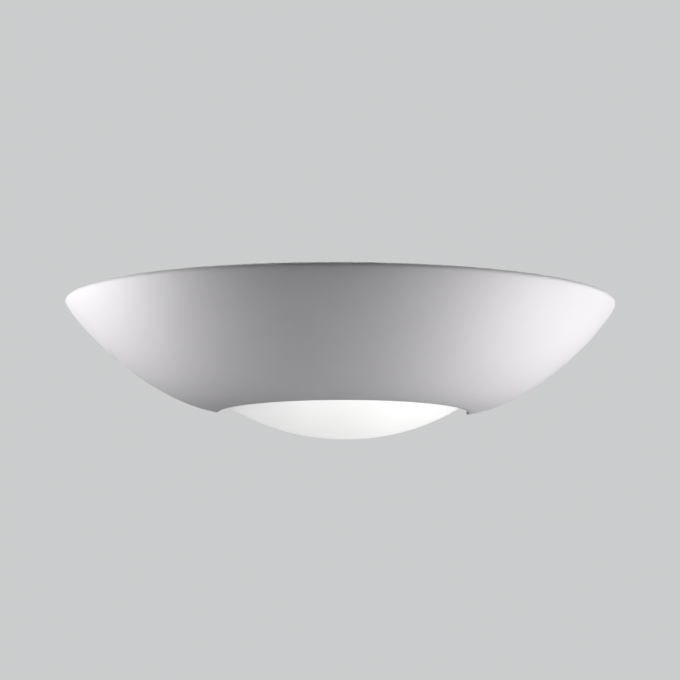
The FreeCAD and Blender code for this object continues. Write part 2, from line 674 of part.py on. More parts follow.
def wall_plate():
    across = Vector(0, 0, 1)
    depth = Vector(0, 1, 0)
    strip = box(-EAR_OUTER_X, EAR_OUTER_X, -EAR_FRONT, 0, -PLATE_HALF_HEIGHT, PLATE_HALF_HEIGHT)
    strip = strip.makeFillet(PLATE_THICKNESS + BEND_RADIUS,
                             edges_along(strip, across, lambda p: near(p.y, 0)))
    hollow = box(-EAR_INNER_X, EAR_INNER_X, -EAR_FRONT - PAST, -PLATE_THICKNESS,
                 -PLATE_HALF_HEIGHT - PAST, PLATE_HALF_HEIGHT + PAST)
    hollow = hollow.makeFillet(BEND_RADIUS,
                               edges_along(hollow, across, lambda p: near(p.y, -PLATE_THICKNESS)))
    strip = strip.cut(hollow)
    strip = strip.makeFillet(EAR_CORNER,
                             edges_along(strip, Vector(1, 0, 0), lambda p: near(p.y, -EAR_FRONT)))
    tab = box(-TAB_HALF_WIDTH, TAB_HALF_WIDTH, -PLATE_THICKNESS, 0, -TAB_DROP, 0)
    tab = tab.makeFillet(PLATE_CORNER, edges_along(tab, depth, lambda p: near(p.z, -TAB_DROP)))
    plate = joined(strip, tab)
    plate = plate.cut(ear_slot()).cut(mirrored(ear_slot()))
    for side in (-1, 1):
        plate = plate.cut(wall_slot(side * WALL_SCREW_X))
        plate = drilled(plate, REFLECTOR_SCREW_RADIUS, side * REFLECTOR_SCREW_SPACING / 2, LAMP_LEVEL,
                        PLATE_THICKNESS)
    for x in BETWEEN_POLES:
        plate = drilled(plate, BLOCK_SCREW_RADIUS, x, BLOCK_MIDDLE, PLATE_THICKNESS)
    plate = drilled(plate, EARTH_SCREW_RADIUS, EARTH_X, EARTH_LEVEL, PLATE_THICKNESS)
    return drilled(plate, CABLE_HOLE_RADIUS, 0, CABLE_HOLE_LEVEL, PLATE_THICKNESS)


def cable_bush():
    """The bush that lines the cable hole, with its lip in front of the plate."""
    back = Vector(0, 0, CABLE_HOLE_LEVEL)
    face = Vector(0, -PLATE_THICKNESS, CABLE_HOLE_LEVEL)
    front = face - Vector(0, BUSH_LIP_THICKNESS, 0)
    lip = rod(CABLE_HOLE_RADIUS + BUSH_LIP, face, front)
    lip = lip.makeFillet(BUSH_LIP_ROUND, circles_at(lip, front))
    bush = joined(rod(CABLE_HOLE_RADIUS, back, face), lip)
    return bush.cut(rod(BUSH_BORE_RADIUS, back, front))


# ---- Lamp bracket and reflector ---------------------------------------------------------------------
def on_lamp_axis(x):
    return Vector(x, -LAMP_OFF_WALL, LAMP_LEVEL)


def bracket_arm():
    """The right arm: a strip from the web with a taller head round the lamp's axis."""
    bottom = LAMP_LEVEL - WEB_HALF_HEIGHT
    front = -LAMP_OFF_WALL - ARM_PAST_LAMP
    strip = box(ARM_X, ARM_OUTER_X, front, -PLATE_THICKNESS, bottom, WEB_TOP)
    head = box(ARM_X, ARM_OUTER_X, front, front + ARM_HEAD_DEPTH,
               LAMP_LEVEL - ARM_HEAD_HALF_HEIGHT, LAMP_LEVEL + ARM_HEAD_HALF_HEIGHT)
    head = head.makeFillet(ARM_CORNER, edges_along(head, Vector(1, 0, 0), lambda p: True))
    return joined(strip, head)


def lamp_bracket():
    bottom = LAMP_LEVEL - WEB_HALF_HEIGHT
    web = box(-ARM_OUTER_X, ARM_OUTER_X, -WEB_FRONT, -PLATE_THICKNESS, bottom, WEB_TOP)
    bracket = joined(web, bracket_arm(), mirrored(bracket_arm()))
    outer = edges_along(bracket, Vector(0, 0, 1), lambda p: near(p.y, -PLATE_THICKNESS) and
                        near(abs(p.x), ARM_OUTER_X))
    bracket = bracket.makeFillet(BRACKET_THICKNESS + BEND_RADIUS / 2, outer)
    for side in (-1, 1):
        bracket = drilled(bracket, REFLECTOR_SCREW_RADIUS + SCREW_GAP, side * REFLECTOR_SCREW_SPACING / 2,
                          LAMP_LEVEL, WEB_FRONT)
        axis = Vector(side * (ARM_X - PAST), -LAMP_OFF_WALL, LAMP_LEVEL)
        through = Vector(side * (BRACKET_THICKNESS + 2 * PAST), 0, 0)
        bracket = bracket.cut(rod(SPIGOT_RADIUS + SPIGOT_HOLE_GAP, axis, axis + through))
        for up in (-1, 1):
            hole = axis + Vector(0, 0, up * HOLDER_SCREW_OFFSET)
            bracket = bracket.cut(rod(HOLDER_SCREW_RADIUS + SCREW_GAP, hole, hole + through))
    for x in BETWEEN_POLES:
        bracket = drilled(bracket, BLOCK_SCREW_RADIUS + SCREW_GAP, x, BLOCK_MIDDLE, WEB_FRONT)
    return bracket


def reflector():
    """A trough behind the lamp, open above and below."""
    half = math.radians(REFLECTOR_HALF_ANGLE)
    start = -REFLECTOR_HALF_LENGTH

    def at(radius, angle):
        return on_lamp_axis(start) + Vector(0, radius * math.cos(angle), radius * math.sin(angle))

    inner = REFLECTOR_RADIUS
    outer = REFLECTOR_RADIUS + REFLECTOR_THICKNESS
    outline = Part.Wire([Part.Arc(at(outer, -half), at(outer, 0), at(outer, half)).toShape(),
                         line(at(outer, half), at(inner, half)),
                         Part.Arc(at(inner, half), at(inner, 0), at(inner, -half)).toShape(),
                         line(at(inner, -half), at(outer, -half))])
    trough = Part.Face(outline).extrude(Vector(2 * REFLECTOR_HALF_LENGTH, 0, 0))
    for side in (-1, 1):
        trough = drilled(trough, REFLECTOR_SCREW_RADIUS + SCREW_GAP, side * REFLECTOR_SCREW_SPACING / 2,
                         LAMP_LEVEL, REFLECTOR_FRONT)
    return trough


def reflector_spacers():
    front = Vector(REFLECTOR_SCREW_SPACING / 2, REFLECTOR_THICKNESS - REFLECTOR_FRONT, LAMP_LEVEL)
    back = Vector(REFLECTOR_SCREW_SPACING / 2, -WEB_FRONT, LAMP_LEVEL)
    spacer = rod(SPACER_RADIUS, front, back)
    return both_sides(spacer.cut(rod(REFLECTOR_SCREW_RADIUS + SCREW_GAP, front, back)))


def reflector_screws():
    """Screws through the reflector and its spacers into the wall plate."""
    rise = glass_drop(REFLECTOR_RADIUS, REFLECTOR_SCREW_RADIUS * HEAD_SHARE)
    under = Vector(REFLECTOR_SCREW_SPACING / 2, -REFLECTOR_FRONT - rise, LAMP_LEVEL)
    return both_sides(screw(REFLECTOR_SCREW_RADIUS, under, Vector(0, 1, 0), -under.y - SCREW_END_GAP))


# ---- Lamp -------------------------------------------------------------------------------------------
def pinch():
    """The flattened quartz at the lamp's right end."""
    return box(TUBE_END_X - TUBE_WALL, CAP_X + PINCH_IN_CAP,
               -LAMP_OFF_WALL - PINCH_THICKNESS / 2, -LAMP_OFF_WALL + PINCH_THICKNESS / 2,
               LAMP_LEVEL - PINCH_WIDTH / 2, LAMP_LEVEL + PINCH_WIDTH / 2)


def quartz_tube():
    outside = rod(TUBE_RADIUS, on_lamp_axis(-TUBE_END_X), on_lamp_axis(TUBE_END_X))
    outside = outside.makeFillet(TUBE_END_ROUND, circles_at(outside, on_lamp_axis(TUBE_END_X))
                                 + circles_at(outside, on_lamp_axis(-TUBE_END_X)))
    hollow_end = TUBE_END_X - TUBE_WALL
    inside = rod(TUBE_RADIUS - TUBE_WALL, on_lamp_axis(-hollow_end), on_lamp_axis(hollow_end))
    low = on_lamp_axis(TIP_OFFSET) + Vector(0, 0, TUBE_RADIUS - TUBE_WALL / 2)
    tip = Part.makeCone(TIP_RADIUS, TIP_END_RADIUS, TUBE_WALL / 2 + TIP_HEIGHT, low, Vector(0, 0, 1))
    tube = joined(outside, pinch(), mirrored(pinch()), tip)
    return tube.cut(inside)


def lamp_caps():
    inner = on_lamp_axis(CAP_X)
    outer = on_lamp_axis(LAMP_LENGTH / 2)
    cap = rod(CAP_RADIUS, inner, outer)
    cap = cap.makeFillet(CAP_ROUND, circles_at(cap, inner) + circles_at(cap, outer))
    cap = cap.cut(pinch())
    seat = on_lamp_axis(CONTACT_X - CONTACT_THICKNESS)
    cap = cap.cut(rod(CONTACT_RADIUS, seat, outer + Vector(PAST, 0, 0)))
    return both_sides(cap.cut(rod(CONTACT_STEM_RADIUS, inner, outer)))


def lamp_contacts():
    disc = rod(CONTACT_RADIUS, on_lamp_axis(CONTACT_X - CONTACT_THICKNESS), on_lamp_axis(CONTACT_X))
    stem = rod(CONTACT_STEM_RADIUS, on_lamp_axis(CAP_X + PINCH_IN_CAP), on_lamp_axis(CONTACT_X))
    return both_sides(joined(disc, stem))


def filament():
    """The coiled filament, its straight tails into the pinches, and the rings that hold it central."""
    hollow_end = TUBE_END_X - TUBE_WALL
    coil_end = hollow_end - FILAMENT_TAIL
    winding = coil(FILAMENT_RADIUS, FILAMENT_WIRE_RADIUS, on_lamp_axis(-coil_end), 2 * coil_end,
                   FILAMENT_TURNS)
    low = Vector(0, 0, -FILAMENT_RADIUS)
    tail = rod(FILAMENT_WIRE_RADIUS, on_lamp_axis(coil_end - FILAMENT_WIRE_RADIUS) + low,
               on_lamp_axis(hollow_end) + low)
    parts = [winding, tail, mirrored(tail)]
    ring_radius = TUBE_RADIUS - TUBE_WALL - SUPPORT_WIRE_RADIUS - SUPPORT_GAP
    for i in range(SUPPORT_COUNT):
        x = coil_end * (2 * (i + 0.5) / SUPPORT_COUNT - 1)
        parts.append(Part.makeTorus(ring_radius, SUPPORT_WIRE_RADIUS, on_lamp_axis(x), Vector(1, 0, 0)))
    return group(parts)


# ---- Lampholders ------------------------------------------------------------------------------------
def lampholder():
    """The right ceramic holder: a shroud round the lamp's end, a spring chamber and a screwed flange."""
    mouth = on_lamp_axis(SHROUD_X)
    barrel = rod(HOLDER_RADIUS, mouth, on_lamp_axis(ARM_X))
    barrel = barrel.makeFillet(HOLDER_ROUND, circles_at(barrel, mouth))
    flange = box(ARM_X - FLANGE_THICKNESS, ARM_X, -LAMP_OFF_WALL - FLANGE_HALF_WIDTH,
                 -LAMP_OFF_WALL + FLANGE_HALF_WIDTH, LAMP_LEVEL - ARM_HEAD_HALF_HEIGHT,
                 LAMP_LEVEL + ARM_HEAD_HALF_HEIGHT)
    flange = flange.makeFillet(ARM_CORNER, edges_along(flange, Vector(1, 0, 0), lambda p: True))
    spigot_end = on_lamp_axis(ARM_OUTER_X + SPIGOT_PAST_ARM)
    holder = joined(barrel, flange, rod(SPIGOT_RADIUS, on_lamp_axis(ARM_X - 1), spigot_end))
    holder = holder.cut(rod(HOLDER_CAVITY_RADIUS, on_lamp_axis(SHROUD_X - PAST), on_lamp_axis(CAVITY_END_X)))
    holder = holder.cut(rod(PIN_RADIUS + TURN_GAP, on_lamp_axis(CAVITY_END_X - 1),
                            on_lamp_axis(CHAMBER_X + 1)))
    holder = holder.cut(rod(CHAMBER_RADIUS, on_lamp_axis(CHAMBER_X), on_lamp_axis(CHAMBER_END_X)))
    holder = holder.cut(rod(SLEEVE_RADIUS, on_lamp_axis(CHAMBER_END_X - 1), spigot_end + Vector(PAST, 0, 0)))
    for up in (-1, 1):
        hole = on_lamp_axis(ARM_X + PAST) + Vector(0, 0, up * HOLDER_SCREW_OFFSET)
        holder = holder.cut(rod(HOLDER_SCREW_RADIUS + SCREW_GAP, hole,
                                hole - Vector(FLANGE_THICKNESS + 2 * PAST, 0, 0)))
    return holder


def holder_screws():
    length = FLANGE_THICKNESS + BRACKET_THICKNESS + HOLDER_NUT_THICKNESS + SCREW_PAST_NUT
    screws = [screw(HOLDER_SCREW_RADIUS, on_lamp_axis(ARM_X - FLANGE_THICKNESS) + Vector(0, 0, offset),
                    Vector(1, 0, 0), length) for offset in (-HOLDER_SCREW_OFFSET, HOLDER_SCREW_OFFSET)]
    return group(screws + [mirrored(s) for s in screws])


def holder_nuts():
    along = Vector(HOLDER_NUT_THICKNESS, 0, 0)
    places = [on_lamp_axis(ARM_OUTER_X) + Vector(0, 0, side * HOLDER_SCREW_OFFSET) for side in (-1, 1)]
    nuts = [hexagon_nut(HOLDER_NUT_RADIUS, HOLDER_SCREW_RADIUS, place, along) for place in places]
    return group(nuts + [mirrored(n) for n in nuts])


def contact_pin():
    """The right sprung contact: a tip, a collar and a tail that slides in the lead's sleeve."""
    tip = on_lamp_axis(CONTACT_X + PIN_CONTACT_GAP)
    nose = rod(PIN_RADIUS, tip, on_lamp_axis(COLLAR_X))
    nose = nose.makeFillet(PIN_ROUND, circles_at(nose, tip))
    collar_end = on_lamp_axis(COLLAR_X + COLLAR_THICKNESS)
    return joined(nose, rod(COLLAR_RADIUS, on_lamp_axis(COLLAR_X), collar_end),
                  rod(TAIL_RADIUS, collar_end, on_lamp_axis(TAIL_TIP_X)))


def contact_spring():
    start = COLLAR_X + COLLAR_THICKNESS
    return coil(SPRING_RADIUS, SPRING_WIRE_RADIUS, on_lamp_axis(start), CHAMBER_END_X - start, SPRING_TURNS)


def lead_sleeve():
    """The brass sleeve that guides the pin's tail and is crimped on the lead's conductor."""
    sleeve = rod(SLEEVE_RADIUS, on_lamp_axis(SLEEVE_X), on_lamp_axis(SLEEVE_END_X))
    sleeve = sleeve.cut(rod(TAIL_RADIUS + TURN_GAP, on_lamp_axis(SLEEVE_X), on_lamp_axis(SLEEVE_STOP_X)))
    return sleeve.cut(rod(CONDUCTOR_RADIUS, on_lamp_axis(SLEEVE_STOP_X), on_lamp_axis(SLEEVE_END_X)))


# ---- Terminal block, leads and earth ----------------------------------------------------------------
def terminal(x, z):
    return Vector(x, -TERMINAL_OFF_WALL, z)


def clamp_screw_levels():
    return [BLOCK_MIDDLE + side * CLAMP_SCREW_PITCH / 2 for side in (-1, 1)]


CLAMP_HEAD_OFF_WALL = TERMINAL_OFF_WALL + TERMINAL_RADIUS


def terminal_block():
    half = POLE_PITCH * POLE_COUNT / 2
    front = -BLOCK_FRONT - PAST
    block = box(-half, half, -BLOCK_FRONT, -WEB_FRONT, BLOCK_BOTTOM, BLOCK_TOP)
    for x in POLE_XS:
        block = block.cut(rod(TERMINAL_RADIUS, terminal(x, BLOCK_BOTTOM - PAST),
                              terminal(x, BLOCK_TOP + PAST)))
        for z in clamp_screw_levels():
            well = CLAMP_SCREW_RADIUS * HEAD_SHARE + SCREW_GAP
            block = block.cut(rod(well, terminal(x, z), Vector(x, front, z)))
    for x in BETWEEN_POLES:
        groove = BLOCK_GROOVE_WIDTH / 2
        block = block.cut(box(x - groove, x + groove, front, -BLOCK_FRONT + BLOCK_GROOVE_DEPTH,
                              BLOCK_BOTTOM - PAST, BLOCK_TOP + PAST))
        block = block.cut(rod(BLOCK_SCREW_RADIUS * HEAD_SHARE + SCREW_GAP, Vector(x, front, BLOCK_MIDDLE),
                              Vector(x, -BLOCK_FRONT + BLOCK_SCREW_SINK, BLOCK_MIDDLE)))
        block = drilled(block, BLOCK_SCREW_RADIUS + SCREW_GAP, x, BLOCK_MIDDLE, BLOCK_FRONT)
    return block


def terminal_tubes():
    tubes = []
    low = BLOCK_BOTTOM + TERMINAL_END_GAP
    high = BLOCK_TOP - TERMINAL_END_GAP
    for x in POLE_XS:
        tube = rod(TERMINAL_RADIUS, terminal(x, low), terminal(x, high))
        tube = tube.cut(rod(SUPPLY_BORE_RADIUS, terminal(x, low),
                            terminal(x, BLOCK_MIDDLE - TERMINAL_STOP / 2)))
        tube = tube.cut(rod(LEAD_BORE_RADIUS, terminal(x, BLOCK_MIDDLE + TERMINAL_STOP / 2),
                            terminal(x, high)))
        for z in clamp_screw_levels():
            tube = tube.cut(rod(CLAMP_SCREW_RADIUS, terminal(x, z), Vector(x, -BLOCK_FRONT, z)))
        tubes.append(tube)
    return group(tubes)


def clamp_screws():
    """The screws that grip the conductors: those on the supply side are backed off to their bores."""
    screws = []
    tips = (TERMINAL_OFF_WALL + SUPPLY_BORE_RADIUS, TERMINAL_OFF_WALL + CONDUCTOR_RADIUS)
    for x in POLE_XS:
        for z, tip in zip(clamp_screw_levels(), tips):
            screws.append(screw(CLAMP_SCREW_RADIUS, Vector(x, -CLAMP_HEAD_OFF_WALL, z), Vector(0, 1, 0),
                                CLAMP_HEAD_OFF_WALL - tip))
    return group(screws)


def block_screws():
    head = -BLOCK_FRONT + BLOCK_SCREW_SINK
    length = -head - SCREW_END_GAP
    return group(screw(BLOCK_SCREW_RADIUS, Vector(x, head, BLOCK_MIDDLE), Vector(0, 1, 0), length)
                 for x in BETWEEN_POLES)


def lead_to_holder(pole_x, side):
    """A lead from the top of one pole, over and forwards, back into the end of a holder's sleeve."""
    level = BLOCK_TOP + LEAD_RISE
    turn = side * LEAD_TURN_X
    points = [terminal(pole_x, BLOCK_TOP), terminal(pole_x, level), terminal(turn, level),
              Vector(turn, -LAMP_OFF_WALL, level), Vector(turn, -LAMP_OFF_WALL, LAMP_LEVEL),
              on_lamp_axis(side * SLEEVE_END_X)]
    path = rounded_path(points, [LEAD_BEND, LEAD_SIDE_BEND, LEAD_BEND, LEAD_BEND])
    in_terminal = rod(CONDUCTOR_RADIUS, terminal(pole_x, BLOCK_MIDDLE + TERMINAL_STOP / 2),
                      terminal(pole_x, BLOCK_TOP))
    in_sleeve = rod(CONDUCTOR_RADIUS, on_lamp_axis(side * SLEEVE_STOP_X), on_lamp_axis(side * SLEEVE_END_X))
    print("lead to holder, length", round(path.Length, 1), "bends", LEAD_BEND, LEAD_SIDE_BEND)
    return joined(pipe(path, LEAD_RADIUS), in_terminal, in_sleeve)


def lead_live():
    return lead_to_holder(POLE_XS[-1], 1)


def lead_neutral():
    return lead_to_holder(POLE_XS[-2], -1)


def lead_earth():
    pole_x = POLE_XS[0]
    barrel_x = EARTH_X + EARTH_RING_RADIUS + EARTH_BARREL_LENGTH
    slant_end = Vector(pole_x - EARTH_LEAD_SLANT, -EARTH_LEAD_OFF_WALL, EARTH_LEVEL)
    points = [terminal(pole_x, BLOCK_TOP), terminal(pole_x, BLOCK_TOP + EARTH_LEAD_RISE), slant_end,
              Vector(barrel_x - EARTH_BARREL_LENGTH + EARTH_RING_GAP, -EARTH_LEAD_OFF_WALL, EARTH_LEVEL)]
    path = rounded_path(points, [EARTH_LEAD_BEND, LEAD_SIDE_BEND])
    in_terminal = rod(CONDUCTOR_RADIUS, terminal(pole_x, BLOCK_MIDDLE + TERMINAL_STOP / 2),
                      terminal(pole_x, BLOCK_TOP))
    print("earth lead, length", round(path.Length, 1), "bends", EARTH_LEAD_BEND, LEAD_SIDE_BEND)
    return joined(pipe(path, LEAD_RADIUS), in_terminal)


def earth_tag():
    """A ring on the wall plate with a barrel crimped on the earth lead."""
    back = Vector(EARTH_X, -PLATE_THICKNESS, EARTH_LEVEL)
    front = back - Vector(0, EARTH_RING_THICKNESS, 0)
    barrel_start = Vector(EARTH_X + EARTH_RING_RADIUS, -EARTH_LEAD_OFF_WALL, EARTH_LEVEL)
    barrel_end = barrel_start + Vector(EARTH_BARREL_LENGTH, 0, 0)
    tongue = box(EARTH_X + EARTH_SCREW_RADIUS, EARTH_X + EARTH_RING_RADIUS + EARTH_BARREL_RADIUS,
                 -PLATE_THICKNESS - EARTH_RING_THICKNESS, -PLATE_THICKNESS,
                 EARTH_LEVEL - EARTH_TONGUE_HALF_WIDTH, EARTH_LEVEL + EARTH_TONGUE_HALF_WIDTH)
    barrel = rod(EARTH_BARREL_RADIUS, barrel_start, barrel_end)
    tag = joined(rod(EARTH_RING_RADIUS, back, front), tongue, barrel)
    tag = tag.cut(rod(LEAD_RADIUS, barrel_start - Vector(PAST, 0, 0), barrel_end))
    return tag.cut(rod(EARTH_SCREW_RADIUS + SCREW_GAP, back, front))


def earth_washer():
    back = Vector(EARTH_X, -PLATE_THICKNESS - EARTH_RING_THICKNESS, EARTH_LEVEL)
    front = back - Vector(0, EARTH_WASHER_THICKNESS, 0)
    washer = rod(EARTH_SCREW_RADIUS * HEAD_SHARE, back, front)
    return washer.cut(rod(EARTH_SCREW_RADIUS + SCREW_GAP, back, front))


def earth_screw():
    under = Vector(EARTH_X, -PLATE_THICKNESS - EARTH_RING_THICKNESS - EARTH_WASHER_THICKNESS, EARTH_LEVEL)
    return screw(EARTH_SCREW_RADIUS, under, Vector(0, 1, 0), -under.y - SCREW_END_GAP)


# ---- Everything -------------------------------------------------------------------------------------
def all_parts():
    parts = {
        "ceramic_shell": ceramic_shell(),
        "shell_studs": shell_studs(),
        "thumb_nut_right": thumb_nut(),
        "thumb_nut_left": mirrored(thumb_nut()),
        "glass_diffuser": glass_diffuser(),
        "glass_seal": glass_seal(),
        "glass_clips": glass_clips(),
        "clip_screws": clip_screws(),
        "wall_plate": wall_plate(),
        "cable_bush": cable_bush(),
        "lamp_bracket": lamp_bracket(),
        "reflector": reflector(),
        "reflector_spacers": reflector_spacers(),
        "reflector_screws": reflector_screws(),
        "quartz_tube": quartz_tube(),
        "lamp_caps": lamp_caps(),
        "lamp_contacts": lamp_contacts(),
        "filament": filament(),
        "holder_screws": holder_screws(),
        "holder_nuts": holder_nuts(),
        "terminal_block": terminal_block(),
        "terminal_tubes": terminal_tubes(),
        "clamp_screws": clamp_screws(),
        "block_screws": block_screws(),
        "lead_live": lead_live(),
        "lead_neutral": lead_neutral(),
        "lead_earth": lead_earth(),
        "earth_tag": earth_tag(),
        "earth_washer": earth_washer(),
        "earth_screw": earth_screw(),
    }
    for name, shape in (("lampholder", lampholder()), ("contact_pin", contact_pin()),
                        ("contact_spring", contact_spring()), ("lead_sleeve", lead_sleeve())):
        parts[name + "_right"] = shape
        parts[name + "_left"] = mirrored(shape)
    return parts


def main():
    os.makedirs("parts", exist_ok=True)
    for name, shape in all_parts().items():
        box_of = shape.BoundBox
        print(f"{name:20s} solids {len(shape.Solids)} valid {shape.isValid()} volume {shape.Volume:10.1f} "
              f"x {box_of.XMin:7.1f} {box_of.XMax:7.1f} y {box_of.YMin:7.1f} {box_of.YMax:6.1f} "
              f"z {box_of.ZMin:6.1f} {box_of.ZMax:6.1f}")
        shape.exportStep(f"parts/{name}.step")


main()
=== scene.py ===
"""Looks of a wall uplighter: a half-bowl of matt white ceramic over a frosted glass dish, with the wall
plate, lamp, holders and wiring inside. Sizes are millimetres times MM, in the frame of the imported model."""

import json
import math

import bmesh
import bpy
from mathutils import Matrix, Vector


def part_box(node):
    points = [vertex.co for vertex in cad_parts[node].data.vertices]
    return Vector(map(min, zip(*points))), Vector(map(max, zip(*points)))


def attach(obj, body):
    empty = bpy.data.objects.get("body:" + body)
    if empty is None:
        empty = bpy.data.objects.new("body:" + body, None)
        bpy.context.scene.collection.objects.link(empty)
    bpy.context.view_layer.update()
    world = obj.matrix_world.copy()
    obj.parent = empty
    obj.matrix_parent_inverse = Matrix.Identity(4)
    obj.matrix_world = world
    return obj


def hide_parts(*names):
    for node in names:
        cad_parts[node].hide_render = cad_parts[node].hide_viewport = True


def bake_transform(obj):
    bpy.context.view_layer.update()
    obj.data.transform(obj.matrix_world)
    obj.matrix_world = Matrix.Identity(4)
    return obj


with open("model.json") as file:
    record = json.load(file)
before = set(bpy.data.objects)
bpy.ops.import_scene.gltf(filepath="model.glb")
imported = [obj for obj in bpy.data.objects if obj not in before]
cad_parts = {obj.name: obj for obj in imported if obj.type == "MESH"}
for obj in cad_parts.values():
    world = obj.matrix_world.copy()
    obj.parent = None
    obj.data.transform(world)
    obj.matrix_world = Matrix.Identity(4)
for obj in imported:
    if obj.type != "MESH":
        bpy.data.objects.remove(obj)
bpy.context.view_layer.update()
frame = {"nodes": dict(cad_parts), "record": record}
NODES = frame["nodes"]
MM = 0.001

# ---- Sizes of the bowl: its level sections are half ellipses -------------------------
RIM_HALF_WIDTH = 200 * MM
RIM_PROJECTION = 140 * MM
RIM_LEVEL = 26 * MM
RIM_ROUND = 2.5 * MM
BOWL_HEIGHT = 82.8 * MM
BOWL_WALL = 7 * MM
FLANK_LEAN = math.radians(22.9)
FLANK_PULL = 20.4 * MM
FLOOR_PULL = 55.8 * MM
FLOOR_HALF_WIDTH = 78.3 * MM
OPENING_HALF = 89.7 * MM
OPENING_PROJECTION = 63.2 * MM
OPENING_ROUND = 1.5 * MM
BLEND_RUN = 14 * MM                   # over which the opening's proportions become the rim's
BACK_EDGE_ROUND = 0.5 * MM

# ---- Sizes of the glass dish ---------------------------------------------------------
GLASS_RADIUS = 164.6 * MM
GLASS_THICKNESS = 4 * MM
GLASS_MARGIN = 8 * MM
GLASS_WALL_GAP = 1.5 * MM
GLASS_EDGE_ROUND = 0.8 * MM

# ---- Lugs and bosses inside the bowl -------------------------------------------------
LUG_FACE_X = 142 * MM
LUG_FRONT = 34 * MM
LUG_BACK = 5 * MM
LUG_HALF_HEIGHT = 12 * MM
LUG_ROUND = 2.5 * MM
STUD_RADIUS = 2 * MM
STUD_OFF_WALL = 20 * MM
STUD_EMBED = 13 * MM
CLIP_ANGLES = (22, 90, 158)
BOSS_RADIUS = 5.5 * MM
BOSS_GAP = 0.6 * MM
CLIP_SCREW_RADIUS = 1.5 * MM
CLIP_SCREW_GRIP = 6 * MM

# ---- Lamp ----------------------------------------------------------------------------
LAMP_AXIS_Y = -56 * MM
LAMP_AXIS_Z = -8 * MM

# ---- Camera, where the photograph was taken from -------------------------------------
VIEW_TARGET = Vector((-2.05, 0, -1.85)) * MM
VIEW_DISTANCE = 1600 * MM
VIEW_AZIMUTH = math.radians(-7.48)
VIEW_ELEVATION = math.radians(-10.21)
VIEW_ROLL = math.radians(-0.56)
FOCAL_PIXELS = 2208.03
FRAME_PIXELS = 680
SENSOR_WIDTH = 36.0


# ---- Camera --------------------------------------------------------------------------
def add_camera():
    data = bpy.data.cameras.new("camera")
    data.sensor_width = SENSOR_WIDTH
    data.lens = SENSOR_WIDTH * FOCAL_PIXELS / FRAME_PIXELS
    level = math.cos(VIEW_ELEVATION)
    out = Vector((math.sin(VIEW_AZIMUTH) * level, -math.cos(VIEW_AZIMUTH) * level,
                  math.sin(VIEW_ELEVATION)))
    right = (-out).cross(Vector((0, 0, 1))).normalized()
    up = out.cross(right)
    turned = right * math.cos(VIEW_ROLL) + up * math.sin(VIEW_ROLL)
    pose = Matrix((turned, out.cross(turned), out)).transposed().to_4x4()
    pose.translation = VIEW_TARGET + out * VIEW_DISTANCE
    camera = bpy.data.objects.new("camera", data)
    camera.matrix_world = pose
    bpy.context.scene.collection.objects.link(camera)
    bpy.context.scene.camera = camera


add_camera()


# ---- Shader building -----------------------------------------------------------------
FLOAT, INT = "NodeSocketFloat", "NodeSocketInt"
VECTOR, COLOUR = "NodeSocketVector", "NodeSocketColor"
WHERE = ("Vector", VECTOR, (0, 0, 0))
FINE_PATCHES = 6.3                    # fine patches to the length of a wide one
WIDE_SHARE = 0.65                     # the share of the mottle that wide patches make
PITS_TO_GRAINS = 0.22
PIT_PATCHES_TO_GRAINS = 0.11


class Sheet:
    """Adds nodes to a tree and joins them."""

    def __init__(self, tree):
        self.tree = tree

    def put(self, socket, value):
        """Gives a socket its value, or joins it to the socket that has it."""
        if isinstance(value, bpy.types.NodeSocket):
            self.tree.links.new(value, socket)
        else:
            socket.default_value = value

    def add(self, kind, values=None, **settings):
        node = self.tree.nodes.new(kind)
        for key, value in settings.items():
            setattr(node, key, value)
        for key, value in (values or {}).items():
            self.put(node.inputs[key], value)
        return node

    def math(self, operation, a, b=0.0, clamp=False):
        return self.add("ShaderNodeMath", {0: a, 1: b}, operation=operation, use_clamp=clamp).outputs[0]

    def times(self, a, b):
        return self.math("MULTIPLY", a, b)

    def noise(self, vector, scale, detail=3.0, rough=0.5):
        return self.add("ShaderNodeTexNoise", {"Vector": vector, "Scale": scale, "Detail": detail,
                                               "Roughness": rough}).outputs["Fac"]

    def spread(self, value, low, high, to_low=0.0, to_high=1.0):
        """A value's place between low and high, laid out between two other values."""
        node = self.add("ShaderNodeMapRange", {"Value": value, "From Min": low, "From Max": high,
                                               "To Min": to_low, "To Max": to_high}, clamp=True)
        return node.outputs["Result"]

    def mix(self, factor, a, b):
        return self.add("ShaderNodeMix", {0: factor, 6: a, 7: b}, data_type="RGBA").outputs[2]

    def rotated(self, vector, turn):
        return self.add("ShaderNodeMapping", {"Vector": vector, "Rotation": turn}).outputs[0]

    def split(self, vector):
        return self.add("ShaderNodeSeparateXYZ", {0: vector}).outputs

    def upward(self):
        """How far a face looks up: 1 for a level one, -1 for one that looks down."""
        return self.split(self.add("ShaderNodeTexCoord").outputs["Normal"])["Z"]


def new_group(name, inputs, outputs):
    """A shader node group with inputs given as (name, type, default)."""
    group = bpy.data.node_groups.new(name, "ShaderNodeTree")
    for label, kind, default in inputs:
        group.interface.new_socket(label, in_out="INPUT", socket_type=kind).default_value = default
    for label, kind in outputs:
        group.interface.new_socket(label, in_out="OUTPUT", socket_type=kind)
    sheet = Sheet(group)
    return group, sheet, sheet.add("NodeGroupInput").outputs


